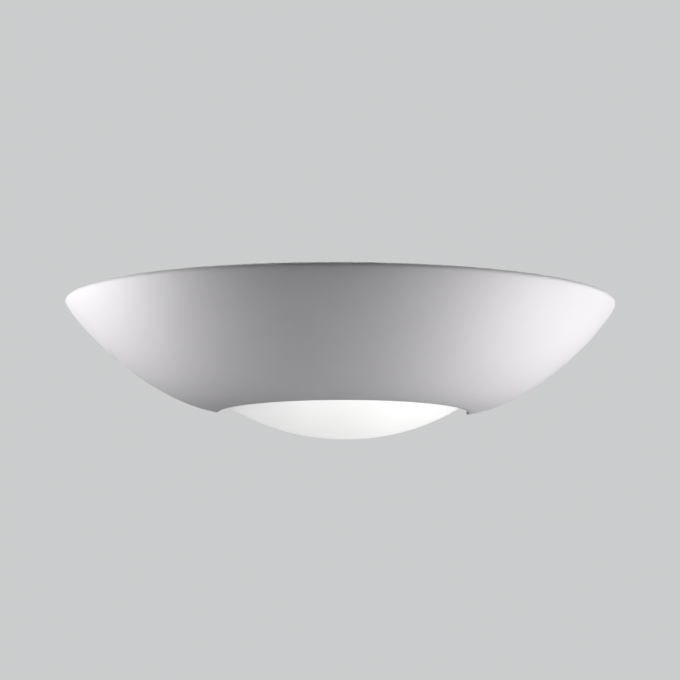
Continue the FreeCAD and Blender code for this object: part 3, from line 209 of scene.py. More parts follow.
def mottle_group():
    """Soft patches of a second colour, in two sizes."""
    group, sheet, given = new_group("mottle", [WHERE, ("Scale", FLOAT, 60), ("Amount", FLOAT, 0.3),
                                               ("Base", COLOUR, (0.8, 0.8, 0.8, 1)),
                                               ("Patch", COLOUR, (0.7, 0.7, 0.7, 1))],
                                    [("Colour", COLOUR), ("Mask", FLOAT)])
    wide = sheet.noise(given["Vector"], given["Scale"], 2)
    fine = sheet.noise(given["Vector"], sheet.times(given["Scale"], FINE_PATCHES), 3, 0.6)
    blend = sheet.math("ADD", sheet.times(wide, WIDE_SHARE), sheet.times(fine, 1 - WIDE_SHARE))
    mask = sheet.spread(blend, 0.38, 0.64)
    colour = sheet.mix(sheet.times(mask, given["Amount"]), given["Base"], given["Patch"])
    sheet.add("NodeGroupOutput", {"Colour": colour, "Mask": mask})
    return group


def grain_group():
    """A fine even grain and sparse pits, as one height."""
    group, sheet, given = new_group("grain", [WHERE, ("Scale", FLOAT, 900), ("Pits", FLOAT, 0.5)],
                                    [("Height", FLOAT), ("Pit Mask", FLOAT)])
    where, scale = given["Vector"], given["Scale"]
    grain = sheet.noise(where, scale, 4, 0.65)
    cells = sheet.add("ShaderNodeTexVoronoi", {"Vector": where, "Scale": sheet.times(scale, PITS_TO_GRAINS)})
    pit = sheet.spread(cells.outputs["Distance"], 0.05, 0.16, 1.0, 0.0)
    rare = sheet.spread(sheet.noise(where, sheet.times(scale, PIT_PATCHES_TO_GRAINS), 1), 0.6, 0.68)
    pits = sheet.times(sheet.times(pit, rare), given["Pits"])
    sheet.add("NodeGroupOutput", {"Height": sheet.math("SUBTRACT", grain, pits), "Pit Mask": pits})
    return group


def brushed_group():
    """Long fine streaks: Streaks says how many there are along each axis."""
    group, sheet, given = new_group("brushed", [WHERE, ("Streaks", VECTOR, (20, 900, 900))],
                                    [("Height", FLOAT), ("Streak", FLOAT)])
    stretched = sheet.add("ShaderNodeVectorMath", {0: given["Vector"], 1: given["Streaks"]},
                          operation="MULTIPLY").outputs[0]
    streak = sheet.noise(stretched, 1.0, 4, 0.7)
    sheet.add("NodeGroupOutput", {"Height": streak, "Streak": sheet.spread(streak, 0.35, 0.65)})
    return group


def dust_group():
    """Where dust settles: on what faces up, in soft patches."""
    group, sheet, given = new_group("dust", [WHERE, ("Amount", FLOAT, 0.3)], [("Mask", FLOAT)])
    patches = sheet.spread(sheet.noise(given["Vector"], 140.0, 4, 0.6), 0.35, 0.7)
    mask = sheet.times(sheet.spread(sheet.upward(), 0.35, 0.95), patches)
    sheet.add("NodeGroupOutput", {"Mask": sheet.times(mask, given["Amount"])})
    return group


GROUPS = {"mottle": mottle_group(), "grain": grain_group(), "brushed": brushed_group(), "dust": dust_group()}


class Finish(Sheet):
    """One material: a Principled shader, object coordinates and the shared groups."""

    def __init__(self, name, **constants):
        self.material = bpy.data.materials.new(name)
        self.material.use_nodes = True
        super().__init__(self.material.node_tree)
        self.tree.nodes.clear()
        self.shader = self.add("ShaderNodeBsdfPrincipled",
                               {socket.replace("_", " "): value for socket, value in constants.items()})
        self.add("ShaderNodeOutputMaterial", {"Surface": self.shader.outputs[0]})
        self.where = self.add("ShaderNodeTexCoord").outputs["Object"]

    def use(self, name, **values):
        return self.add("ShaderNodeGroup", {"Vector": self.where, **values}, node_tree=GROUPS[name]).outputs

    def feed(self, socket, value):
        self.put(self.shader.inputs[socket], value)

    def bump(self, height, depth, strength, over=None):
        """Raises the surface by a height, over another bump where there is one."""
        node = self.add("ShaderNodeBump", {"Height": height, "Distance": depth, "Strength": strength})
        if over is not None:
            self.put(node.inputs["Normal"], over)
        self.feed("Normal", node.outputs[0])
        return node.outputs[0]


def grey(value, warm=0.0):
    """A near-neutral colour, in linear light: warm above 0 leans to yellow, below 0 to violet."""
    return (value * (1 + warm), value, value * (1 - warm), 1)


def ceramic_finish():
    """Matt white ceramic: a slightly rolling skin with a fine grain and a few pits."""
    f = Finish("matt_bisque", IOR=1.5, Specular_IOR_Level=0.5)
    mottle = f.use("mottle", Scale=22.0, Amount=0.5, Base=(0.813, 0.796, 0.822, 1),
                   Patch=(0.776, 0.757, 0.780, 1))
    grain = f.use("grain", Scale=1500.0, Pits=0.8)
    dust = f.use("dust", Amount=0.25)["Mask"]
    pale = f.mix(f.times(grain["Pit Mask"], 0.35), mottle["Colour"], grey(0.60, 0.01))
    f.feed("Base Color", f.mix(dust, pale, grey(0.62, 0.03)))
    f.feed("Roughness", f.spread(grain["Height"], 0.3, 0.7, 0.50, 0.60))
    rolls = f.bump(f.noise(f.where, 28.0, 2), 0.2 * MM, 0.4)
    f.bump(grain["Height"], 0.03 * MM, 0.6, rolls)
    return f.material


def frosted_glass_finish():
    """Opal glass with a painted glow for the lamp's light through it: brightest below the lamp and on the
    side that looks down.
    """
    f = Finish("frosted_opal_glass", IOR=1.5, Specular_IOR_Level=0.35, Emission_Strength=0.64)
    mottle = f.use("mottle", Scale=35.0, Amount=0.6, Base=grey(0.80, 0.004), Patch=grey(0.76, 0.012))
    grain = f.use("grain", Scale=2600.0, Pits=0.2)
    f.feed("Base Color", mottle["Colour"])
    f.feed("Roughness", f.spread(grain["Height"], 0.3, 0.7, 0.42, 0.56))
    place = f.split(f.where)
    # Painted light: the lamp's glow through the glass is painted into the emission, strongest under the lamp,
    # on faces that look down and nearer the lamp's level.
    beside_lamp = f.spread(f.math("ABSOLUTE", place["X"]), 30 * MM, 95 * MM, 1.0, 0.62)
    below = f.spread(f.upward(), -0.6, -0.1, 1.0, 0.35)
    painted_glow = f.times(f.spread(place["Z"], -71 * MM, -50 * MM, 0.90, 1.0), f.times(beside_lamp, below))
    colour = f.mix(mottle["Mask"], grey(0.98, 0.006), grey(1.0, 0.004))
    f.feed("Emission Color", f.mix(painted_glow, grey(0.0), colour))
    f.bump(grain["Height"], 0.015 * MM, 0.5)
    return f.material


def metal_finish(name, colour, patch, rough, patches=90.0, amount=0.5, streaks=None):
    """Plated or bare metal: tarnish patches, streaks or grain, and a little dust on top."""
    f = Finish(name, Metallic=1.0)
    mottle = f.use("mottle", Scale=patches, Amount=amount, Base=colour, Patch=patch)
    f.feed("Base Color", mottle["Colour"])
    if streaks:
        lines = f.use("brushed", Streaks=streaks)
        height, uneven = lines["Height"], lines["Streak"]
    else:
        grain = f.use("grain", Scale=2200.0, Pits=0.3)
        height, uneven = grain["Height"], grain["Height"]
    dust = f.use("dust", Amount=0.2)["Mask"]
    worn = f.math("ADD", f.spread(uneven, 0.0, 1.0, rough - 0.06, rough + 0.08),
                  f.times(mottle["Mask"], 0.06))
    f.feed("Roughness", f.math("ADD", worn, f.times(dust, 0.3), clamp=True))
    f.bump(height, 0.01 * MM, 0.6)
    return f.material


def painted_finish():
    """White powder coat with its orange-peel skin."""
    f = Finish("white_powder_coat", IOR=1.5)
    mottle = f.use("mottle", Scale=30.0, Amount=0.35, Base=grey(0.74, 0.006), Patch=grey(0.69, 0.015))
    dust = f.use("dust", Amount=0.3)["Mask"]
    f.feed("Base Color", f.mix(dust, mottle["Colour"], grey(0.55, 0.03)))
    skin = f.noise(f.where, 900.0, 2)
    f.feed("Roughness", f.spread(skin, 0.3, 0.7, 0.36, 0.48))
    f.bump(skin, 0.04 * MM, 0.6)
    return f.material


def steatite_finish():
    """Pressed unglazed ceramic, cream white, with a few dark specks."""
    f = Finish("steatite", IOR=1.55)
    mottle = f.use("mottle", Scale=160.0, Amount=0.6, Base=grey(0.70, 0.045), Patch=grey(0.62, 0.07))
    grain = f.use("grain", Scale=2400.0, Pits=1.0)
    f.feed("Base Color", f.mix(f.times(grain["Pit Mask"], 0.7), mottle["Colour"], grey(0.26, 0.1)))
    f.feed("Roughness", f.spread(grain["Height"], 0.3, 0.7, 0.55, 0.72))
    f.bump(grain["Height"], 0.03 * MM, 0.6)
    return f.material


def quartz_finish():
    """Clear quartz with the faint draw lines of its tube."""
    f = Finish("clear_quartz", IOR=1.46, Transmission_Weight=1.0)
    mottle = f.use("mottle", Scale=120.0, Amount=0.5, Base=(0.97, 0.98, 1.0, 1),
                   Patch=(0.93, 0.95, 0.97, 1))
    lines = f.use("brushed", Streaks=(30, 1600, 1600))
    f.feed("Base Color", mottle["Colour"])
    f.feed("Roughness", f.spread(mottle["Mask"], 0, 1, 0.02, 0.06))
    f.bump(lines["Height"], 0.01 * MM, 0.3)
    return f.material


def filament_finish():
    """Glowing tungsten, unevenly hot."""
    f = Finish("glowing_tungsten", Metallic=1.0, Emission_Strength=7.0)
    heat = f.noise(f.where, 700.0, 2)
    f.feed("Base Color", f.mix(heat, (0.30, 0.28, 0.27, 1), (0.42, 0.39, 0.36, 1)))
    f.feed("Emission Color", f.mix(heat, (1.0, 0.72, 0.42, 1), (1.0, 0.84, 0.62, 1)))
    f.feed("Roughness", f.spread(heat, 0.3, 0.7, 0.35, 0.55))
    return f.material


def soft_finish(name, colour, patch, rough, sheen=0.0):
    """Moulded plastic or silicone: an even skin with faint flow patches and dust."""
    f = Finish(name, IOR=1.45, Sheen_Weight=sheen)
    mottle = f.use("mottle", Scale=110.0, Amount=0.45, Base=colour, Patch=patch)
    grain = f.use("grain", Scale=700.0, Pits=0.25)
    dust = f.use("dust", Amount=0.35)["Mask"]
    f.feed("Base Color", f.mix(dust, mottle["Colour"], grey(0.5, 0.03)))
    f.feed("Roughness", f.spread(grain["Height"], 0.3, 0.7, rough - 0.06, rough + 0.08))
    f.bump(grain["Height"], 0.02 * MM, 0.6)
    return f.material


def braid_finish(name, colour, second, tracer=None):
    """Woven glass-fibre sleeving: two sets of slanting strands with painted shade in the gaps between them,
    and a tracer colour where it has one.
    """
    f = Finish(name, IOR=1.45, Sheen_Weight=0.3)
    strands = []
    for turn in (0.72, -0.72):
        slanted = f.rotated(f.where, (turn, turn, turn))
        wave = f.add("ShaderNodeTexWave", {"Vector": slanted, "Scale": 330.0, "Distortion": 0.6,
                                           "Detail": 1.0},
                     wave_type="BANDS", bands_direction="DIAGONAL")
        strands.append(wave.outputs["Fac"])
    woven = f.math("MAXIMUM", strands[0], strands[1])
    mottle = f.use("mottle", Scale=400.0, Amount=0.5, Base=colour, Patch=second)
    # Painted shade: the gaps between the strands are painted darker, down to under half the sleeve's colour.
    shade = f.mix(f.spread(woven, 0.3, 0.95), tuple(c * 0.45 for c in colour[:3]) + (1,), mottle["Colour"])
    if tracer:
        stripe = f.add("ShaderNodeTexWave", {"Vector": f.rotated(f.where, (0.5, 0.9, 0.3)), "Scale": 90.0},
                       wave_type="BANDS", bands_direction="DIAGONAL").outputs["Fac"]
        shade = f.mix(f.spread(stripe, 0.45, 0.55), shade, tracer)
    f.feed("Base Color", shade)
    f.feed("Roughness", f.spread(woven, 0, 1, 0.85, 0.6))
    f.bump(woven, 0.12 * MM, 0.8)
    return f.material


FINISHES = {
    "bisque": ceramic_finish(),
    "opal_glass": frosted_glass_finish(),
    "zinc_steel": metal_finish("zinc_plate", grey(0.60, 0.0), (0.56, 0.55, 0.47, 1), 0.34, patches=70.0),
    "plate_steel": painted_finish(),
    "bright_aluminium": metal_finish("bright_anodised", grey(0.86, 0.003), grey(0.80, 0.0), 0.20,
                                     amount=0.4, streaks=(14, 1300, 1300)),
    "steatite": steatite_finish(),
    "quartz": quartz_finish(),
    "tungsten": filament_finish(),
    "brass": metal_finish("brass", (0.72, 0.53, 0.24, 1), (0.58, 0.39, 0.17, 1), 0.27, patches=130.0),
    "nickel": metal_finish("nickel_plate", (0.62, 0.59, 0.54, 1), (0.52, 0.49, 0.44, 1), 0.26, patches=120.0),
    "silicone": soft_finish("silicone", grey(0.56, 0.02), grey(0.50, 0.04), 0.55, sheen=0.2),
    "block_nylon": soft_finish("moulded_nylon", grey(0.66, 0.03), grey(0.60, 0.05), 0.45),
    "sleeve_brown": braid_finish("brown_sleeving", (0.13, 0.055, 0.03, 1), (0.09, 0.04, 0.022, 1)),
    "sleeve_blue": braid_finish("blue_sleeving", (0.03, 0.10, 0.27, 1), (0.022, 0.075, 0.2, 1)),
    "sleeve_green": braid_finish("green_sleeving", (0.06, 0.22, 0.05, 1), (0.05, 0.17, 0.04, 1),
                                 tracer=(0.70, 0.58, 0.06, 1)),
}
SLOT_OF = {part["node"]: part["material_slot"] for part in frame["record"]["subparts"]}
BODY_OF = {node: body for body, nodes in frame["record"]["behaviour"]["bodies"].items() for node in nodes}


# ---- Mesh building -------------------------------------------------------------------
def as_mesh(build, name):
    """A mesh from a function that fills a bmesh."""
    bm = bmesh.new()
    build(bm)
    mesh = bpy.data.meshes.new(name)
    bm.to_mesh(mesh)
    bm.free()
    return mesh


MERGE = 1e-6                          # points nearer than this are one
EDGE_BREAK = 0.15 * MM
BROKEN_ANGLE = math.radians(35)       # a sharper edge gets broken
FLAT_ANGLE = math.radians(0.5)        # a flatter one goes


def evened(mesh):
    """The mesh with its flat faces shaded flat right up to their broken edges."""
    def add(modifiers):
        modifier = modifiers.new("even", "WEIGHTED_NORMAL")
        modifier.mode = "FACE_AREA"
        modifier.weight = 100
        modifier.keep_sharp = True
    return with_modifiers(mesh, add)


def placed(mesh, name, stands_for, smooth_angle=40, even=False, bends=None):
    """A finished piece in the place of a CAD node: it takes the node's slot and finish, and the node's body
    unless it bends. A piece that bends only has its place set in the model's frame and is tied to no body;
    the other body and points in bends are not used."""
    slot = SLOT_OF[stands_for]
    mesh.materials.clear()
    mesh.materials.append(FINISHES[slot])
    mesh.polygons.foreach_set("material_index", [0] * len(mesh.polygons))
    mesh.shade_smooth()
    mesh.set_sharp_from_angle(angle=math.radians(smooth_angle))
    if even:
        mesh = evened(mesh)
    piece = bpy.data.objects.new(name, mesh)
    bpy.context.scene.collection.objects.link(piece)
    if bends:
        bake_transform(piece)
    else:
        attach(piece, BODY_OF[stands_for])
    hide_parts(stands_for)
    return piece


def with_modifiers(mesh, add):
    """What a mesh becomes once the modifiers that add puts on it have run."""
    carrier = bpy.data.objects.new("carrier", mesh)
    bpy.context.scene.collection.objects.link(carrier)
    add(carrier.modifiers)
    graph = bpy.context.evaluated_depsgraph_get()
    result = bpy.data.meshes.new_from_object(carrier.evaluated_get(graph))
    bpy.data.objects.remove(carrier)
    return result


def shaped_by(tree, mesh, **inputs):
    """What a geometry tree makes of a mesh, with the tree's inputs given by name."""
    def add(modifiers):
        modifier = modifiers.new("shape", "NODES")
        modifier.node_group = tree
        for item in tree.interface.items_tree:
            if item.item_type == "SOCKET" and item.in_out == "INPUT" and item.name in inputs:
                modifier[item.identifier] = inputs[item.name]
    return with_modifiers(mesh, add)


def combined(mesh, changes):
    """A closed mesh with others united to it or taken out of it, in order."""
    tools = []
    for operation, other in changes:
        tools.append((operation, bpy.data.objects.new("tool", other)))
        bpy.context.scene.collection.objects.link(tools[-1][1])

    def add(modifiers):
        for operation, tool in tools:
            modifier = modifiers.new("cut", "BOOLEAN")
            modifier.operation = operation
            modifier.solver = "EXACT"
            modifier.object = tool
    result = with_modifiers(mesh, add)
    for _, tool in tools:
        bpy.data.objects.remove(tool)
    return result


def closed(bm):
    """Doubles merged, holes filled, faces turned outwards."""
    bmesh.ops.remove_doubles(bm, verts=bm.verts, dist=MERGE)
    bmesh.ops.dissolve_degenerate(bm, edges=bm.edges, dist=MERGE)
    bmesh.ops.holes_fill(bm, edges=[e for e in bm.edges if e.is_boundary])
    bmesh.ops.recalc_face_normals(bm, faces=bm.faces)


def broken(bm, edges, width):
    """Edges with a narrow round in their place."""
    bmesh.ops.bevel(bm, geom=edges, offset=width, segments=2, profile=0.5, affect="EDGES", clamp_overlap=True)


def dressed(node, name):
    """A CAD node's own form, merged, with its sharp edges broken."""
    def build(bm):
        bm.from_mesh(NODES[node].data)
        bmesh.ops.remove_doubles(bm, verts=bm.verts, dist=MERGE)
        bmesh.ops.dissolve_limit(bm, angle_limit=FLAT_ANGLE, verts=bm.verts, edges=bm.edges)
        sharp = [e for e in bm.edges if e.is_manifold and e.calc_face_angle(0) > BROKEN_ANGLE]
        broken(bm, sharp, EDGE_BREAK)
    return placed(as_mesh(build, name), name, node, even=True)


# ---- Geometry trees ------------------------------------------------------------------
def new_tree(name, inputs):
    """A geometry tree that takes a mesh and named values."""
    tree = bpy.data.node_groups.new(name, "GeometryNodeTree")
    for way in ("INPUT", "OUTPUT"):
        tree.interface.new_socket("Geometry", in_out=way, socket_type="NodeSocketGeometry")
    for label, kind, default in inputs:
        tree.interface.new_socket(label, in_out="INPUT", socket_type=kind).default_value = default
    tree.interface.new_socket("Material", in_out="INPUT", socket_type="NodeSocketMaterial")
    sheet = Sheet(tree)
    return tree, sheet, sheet.add("NodeGroupInput").outputs


def finish_tree(sheet, geometry, material):
    solid = sheet.add("GeometryNodeRealizeInstances", {"Geometry": geometry}).outputs[0]
    finished = sheet.add("GeometryNodeSetMaterial", {"Geometry": solid, "Material": material}).outputs[0]
    sheet.add("NodeGroupOutput", {"Geometry": finished})


class Turning:
    """A grid with one row for each point of the outline that a tree is given, ready to be moved."""

    def __init__(self, sheet, given):
        self.sheet = sheet
        self.given = given
        self.outline = given["Geometry"]
        rows = sheet.add("GeometryNodeAttributeDomainSize", {"Geometry": self.outline}).outputs["Point Count"]
        self.grid = sheet.add("GeometryNodeMeshGrid", {"Size X": 1, "Size Y": 1, "Vertices X": given["Steps"],
                                                       "Vertices Y": rows}).outputs["Mesh"]
        index = sheet.add("GeometryNodeInputIndex").outputs[0]
        self.row = sheet.math("MODULO", index, rows)
        column = sheet.math("FLOOR", sheet.math("DIVIDE", index, rows))
        self.share = sheet.math("DIVIDE", column, sheet.math("SUBTRACT", given["Steps"], 1))
        position = sheet.add("GeometryNodeInputPosition").outputs[0]
        self.place = sheet.split(self.of_row("FLOAT_VECTOR", position))

    def of_row(self, kind, value):
        """A value of the outline, read at the point that a grid point comes from."""
        return self.sheet.add("GeometryNodeSampleIndex",
                              {"Geometry": self.outline, "Value": value, "Index": self.row},
                              data_type=kind, domain="POINT").outputs[0]

    def named(self, label):
        attribute = self.sheet.add("GeometryNodeInputNamedAttribute", {"Name": label}, data_type="FLOAT")
        return self.of_row("FLOAT", attribute.outputs[0])

    def move(self, x, y, z):
        """Ends the tree with the grid's points in these places."""
        point = self.sheet.add("ShaderNodeCombineXYZ", {"X": x, "Y": y, "Z": z}).outputs[0]
        moved = self.sheet.add("GeometryNodeSetPosition", {"Geometry": self.grid, "Position": point})
        finish_tree(self.sheet, moved.outputs[0], self.given["Material"])


def swept_tree():
    """Sweeps an outline about the upright axis. Each of its points carries how far its level section is
    squashed, and how steeply its surface rises, so that it stays on a surface squashed otherwise."""
    tree, sheet, given = new_tree("swept_outline", [("Steps", INT, 161), ("Turn", FLOAT, math.pi)])
    turning = Turning(sheet, given)
    place, named = turning.place, turning.named
    angle = sheet.times(turning.share, given["Turn"])
    x = sheet.times(place["X"], sheet.math("COSINE", angle))
    depth = sheet.times(sheet.times(place["X"], sheet.math("SINE", angle)), named("squash"))
    own_depth = sheet.math("DIVIDE", depth, named("surface_squash"))
    reach = sheet.math("SQRT", sheet.math("ADD", sheet.times(x, x), sheet.times(own_depth, own_depth)))
    rise = sheet.times(sheet.math("SUBTRACT", reach, place["X"]), named("slope"))
    turning.move(x, sheet.times(depth, -1), sheet.math("ADD", place["Z"], rise))
    return tree


def turned_tree():
    """Turns an outline of (place along, radius) about X, with ribs and a thread where its points carry a
    share of them."""
    tree, sheet, given = new_tree("turned_outline", [
        ("Steps", INT, 96), ("Ribs", INT, 0), ("Rib Depth", FLOAT, 0.0), ("Thread Pitch", FLOAT, 1.0),
        ("Thread Depth", FLOAT, 0.0)])
    turning = Turning(sheet, given)
    place, share = turning.place, turning.share
    angle = sheet.times(share, 2 * math.pi)
    rib = sheet.math("PINGPONG", sheet.times(sheet.times(share, given["Ribs"]), 2), 1)
    turns = sheet.math("SUBTRACT", sheet.math("DIVIDE", place["X"], given["Thread Pitch"]), share)
    ridge = sheet.math("PINGPONG", sheet.times(turns, 2), 1)
    ribs = sheet.times(sheet.times(rib, given["Rib Depth"]), turning.named("ribbed"))
    thread = sheet.times(sheet.times(ridge, given["Thread Depth"]), turning.named("threaded"))
    cut = sheet.math("ADD", ribs, thread)
    radius = sheet.math("MAXIMUM", sheet.math("SUBTRACT", place["Z"], cut), 0)
    turning.move(place["X"], sheet.times(radius, sheet.math("COSINE", angle)),
                 sheet.times(radius, sheet.math("SINE", angle)))
    return tree


def wound_tree():
    """Winds a round wire in a helix along X, starting at the bottom, with closed ends."""
    tree, sheet, given = new_tree("wound_wire", [
        ("Turns", FLOAT, 6.0), ("Radius", FLOAT, 1.0), ("Length", FLOAT, 1.0), ("Wire Radius", FLOAT, 0.1),
        ("Steps", INT, 32), ("Sides", INT, 8)])
    spiral = sheet.add("GeometryNodeCurveSpiral", {
        "Resolution": given["Steps"], "Rotations": given["Turns"], "Start Radius": given["Radius"],
        "End Radius": given["Radius"], "Height": given["Length"]}).outputs[0]
    laid = sheet.add("GeometryNodeTransform", {"Geometry": spiral, "Rotation": (0, math.pi / 2, 0)})
    ring = sheet.add("GeometryNodeCurvePrimitiveCircle", {"Resolution": given["Sides"],
                                                          "Radius": given["Wire Radius"]}).outputs[0]
    wire = sheet.add("GeometryNodeCurveToMesh", {"Curve": laid.outputs[0], "Profile Curve": ring,
                                                 "Fill Caps": True}).outputs[0]
    finish_tree(sheet, wire, given["Material"])
    return tree


SWEPT = swept_tree()
TURNED = turned_tree()
WOUND = wound_tree()


SWEEP_STEPS = 161


def outline_mesh(points, labels):
    """An outline's points, with what they carry after their two coordinates under these labels."""
    outline = bpy.data.meshes.new("outline")
    outline.from_pydata([(p[0], 0, p[1]) for p in points], [], [])
    for i, label in enumerate(labels, 2):
        values = [p[i] if len(p) > i else 0.0 for p in points]
        outline.attributes.new(label, "FLOAT", "POINT").data.foreach_set("value", values)
    return outline


def swept(points):
    """The mesh that an outline sweeps: its points are (half width, level, squash, surface squash, slope)."""
    outline = outline_mesh(points, ("squash", "surface_squash", "slope"))
    return shaped_by(SWEPT, outline, Steps=SWEEP_STEPS, Turn=math.pi)


# ---- Bowl ----------------------------------------------------------------------------
TIP_LIP = BOWL_WALL / math.cos(FLANK_LEAN)
LIP_ANGLE = math.pi / 2 - FLANK_LEAN
TIP_CUT = RIM_ROUND / math.tan(LIP_ANGLE / 2)
TIP_HALF = RIM_HALF_WIDTH + TIP_CUT - RIM_ROUND
INNER_TIP_HALF = TIP_HALF - TIP_LIP
INNER_TIP_CUT = RIM_ROUND * math.tan(LIP_ANGLE / 2)
SQUASH = RIM_PROJECTION / RIM_HALF_WIDTH
INNER_SQUASH = (TIP_HALF * SQUASH - TIP_LIP) / INNER_TIP_HALF
OPENING_SQUASH = OPENING_PROJECTION / OPENING_HALF
FLOOR_LEVEL = RIM_LEVEL - BOWL_HEIGHT
DOWN_FLANK = Vector((-math.sin(FLANK_LEAN), -math.cos(FLANK_LEAN)))


class Flank:
    """One side's curve in the wall plane, from the rim down to the level floor."""

    def __init__(self, tip_half, tip_cut, floor_level, share):
        tip = Vector((tip_half, RIM_LEVEL))
        foot = Vector((FLOOR_HALF_WIDTH, floor_level))
        self.poles = (tip + DOWN_FLANK * tip_cut, tip + DOWN_FLANK * FLANK_PULL * share,
                      foot + Vector((FLOOR_PULL * share, 0)), foot)

    def at(self, t):
        a, b, c, d = self.poles
        return a * (1 - t) ** 3 + b * 3 * t * (1 - t) ** 2 + c * 3 * t * t * (1 - t) + d * t ** 3

    def when(self, value, axis=0):
        """Where along the curve its half width, or its level for axis 1, has this value."""
        low, high = 0.0, 1.0
        for _ in range(40):
            middle = (low + high) / 2
            low, high = (middle, high) if self.at(middle)[axis] > value else (low, middle)
        return low

    def slope(self, t):
        step = 1e-4
        run = self.at(min(1, t + step)) - self.at(max(0, t - step))
        return run.y / run.x


OUTER = Flank(TIP_HALF, TIP_CUT, FLOOR_LEVEL, 1.0)
INNER = Flank(INNER_TIP_HALF, INNER_TIP_CUT, FLOOR_LEVEL + BOWL_WALL, 1 - BOWL_WALL / BOWL_HEIGHT)


def arc(centre, radius, start, end, count):
    """Points on a round, angles in radians."""
    return [Vector((centre[0] + radius * math.cos(a), centre[1] + radius * math.sin(a)))
            for a in (start + (end - start) * i / count for i in range(count + 1))]


def flank_points(flank, own, edge_half, count):
    """The flank from the rim to the opening's edge, its proportions blending into the opening's."""
    last = flank.when(edge_half)
    points = []
    for i in range(count + 1):
        t = last * i / count
        place = flank.at(t)
        share = min(1.0, max(0.0, 1 - (place.x - edge_half) / BLEND_RUN))
        squash = own + (OPENING_SQUASH - own) * share * share * (3 - 2 * share)
        points.append((place.x, place.y, squash, own, flank.slope(t)))
    return points


def bowl_outline():
    """All round the wall's section: outer flank, opening's edge, inner flank, rim."""
    lean = FLANK_LEAN
    outer_centre = (TIP_HALF - TIP_CUT, RIM_LEVEL - RIM_ROUND)
    inner_centre = (INNER_TIP_HALF + INNER_TIP_CUT, RIM_LEVEL - RIM_ROUND)
    outer_rim = [(p.x, p.y, SQUASH, SQUASH, 0.0)
                 for p in arc(outer_centre, RIM_ROUND, math.pi / 2, -lean, 8)[:-1]]
    inner_rim = [(p.x, p.y, INNER_SQUASH, INNER_SQUASH, 0.0)
                 for p in arc(inner_centre, RIM_ROUND, math.pi - lean, math.pi / 2, 8)[1:]]
    outside = flank_points(OUTER, SQUASH, OPENING_HALF + OPENING_ROUND, 56)
    inside = flank_points(INNER, INNER_SQUASH, OPENING_HALF, 50)[::-1]
    foot = outside[-1][1]
    centre = (OPENING_HALF + OPENING_ROUND, foot + OPENING_ROUND)
    slope = outside[-1][4]
    edge = [(p.x, p.y, OPENING_SQUASH, SQUASH, slope)
            for p in arc(centre, OPENING_ROUND, -math.pi / 2, -math.pi, 5)[1:]]
    return outer_rim + outside + edge + inside + inner_rim + outer_rim[:1]


def wall_middle(level):
    """The half width, in the wall plane, of the middle of the bowl's wall at a level."""
    return (OUTER.at(OUTER.when(level, 1)).x + INNER.at(INNER.when(level, 1)).x) / 2


CORNER_STEPS = 6


def rounded_box_outline(low, high, radius):
    """A rectangle with round corners, anticlockwise."""
    (x0, y0), (x1, y1) = low, high
    corners = ((x1 - radius, y1 - radius, 0), (x0 + radius, y1 - radius, 1), (x0 + radius, y0 + radius, 2),
               (x1 - radius, y0 + radius, 3))
    return [p for x, y, quarter in corners
            for p in arc((x, y), radius, quarter * math.pi / 2, (quarter + 1) * math.pi / 2, CORNER_STEPS)]


def pushed(outline, start, end):
    """A closed mesh between two copies of an outline: start and end place each of its points."""
    def build(bm):
        rings = [[bm.verts.new(place(p)) for p in outline] for place in (start, end)]
        for ring in rings:
            bm.faces.new(ring)
        for i in range(len(outline)):
            bm.faces.new((rings[0][i - 1], rings[0][i], rings[1][i], rings[1][i - 1]))
        bmesh.ops.triangulate(bm, faces=[f for f in bm.faces if len(f.verts) > 4])
        bmesh.ops.recalc_face_normals(bm, faces=bm.faces)
    return as_mesh(build, "pushed")


def lug(side):
    """The moulded lug that holds a stud: it ends inside the bowl's wall."""
    outline = rounded_box_outline((-LUG_FRONT, -LUG_HALF_HEIGHT), (-LUG_BACK, LUG_HALF_HEIGHT), LUG_ROUND)

    def far(p):
        half = wall_middle(p.y)
        return side * math.sqrt(half ** 2 - (p.x / SQUASH) ** 2), p.x, p.y
    return pushed(outline, lambda p: (side * LUG_FACE_X, p.x, p.y), far)


def clip_places():
    """The middle of each clip's boss."""
    places = []
    for degrees in CLIP_ANGLES:
        a = math.radians(degrees)
        out = Vector((OPENING_SQUASH * math.cos(a), -math.sin(a))).normalized()
        half = OPENING_HALF + GLASS_MARGIN
        places.append(Vector((half * math.cos(a), -half * OPENING_SQUASH * math.sin(a)))
                      + out * (BOSS_RADIUS + BOSS_GAP))
    return places


BOSS_SIDES = 40
HOLE_SIDES = 24


def round_outline(middle, radius, count):
    return arc(middle, radius, 0, 2 * math.pi * (1 - 1 / count), count - 1)


def boss(middle, top):
    """The boss under a clip, down into the middle of the bowl's floor."""
    def foot(p):
        half = math.hypot(p.x, p.y / SQUASH)
        outer = OUTER.at(OUTER.when(half)).y
        return p.x, p.y, outer + BOWL_WALL / 2
    return pushed(round_outline(middle, BOSS_RADIUS, BOSS_SIDES), lambda p: (p.x, p.y, top), foot)


def rounded_back(bm, y):
    """Rounds the edges that lie in the upright plane at y."""
    broken(bm, [e for e in bm.edges if all(abs(v.co.y - y) < MERGE for v in e.verts)], BACK_EDGE_ROUND)


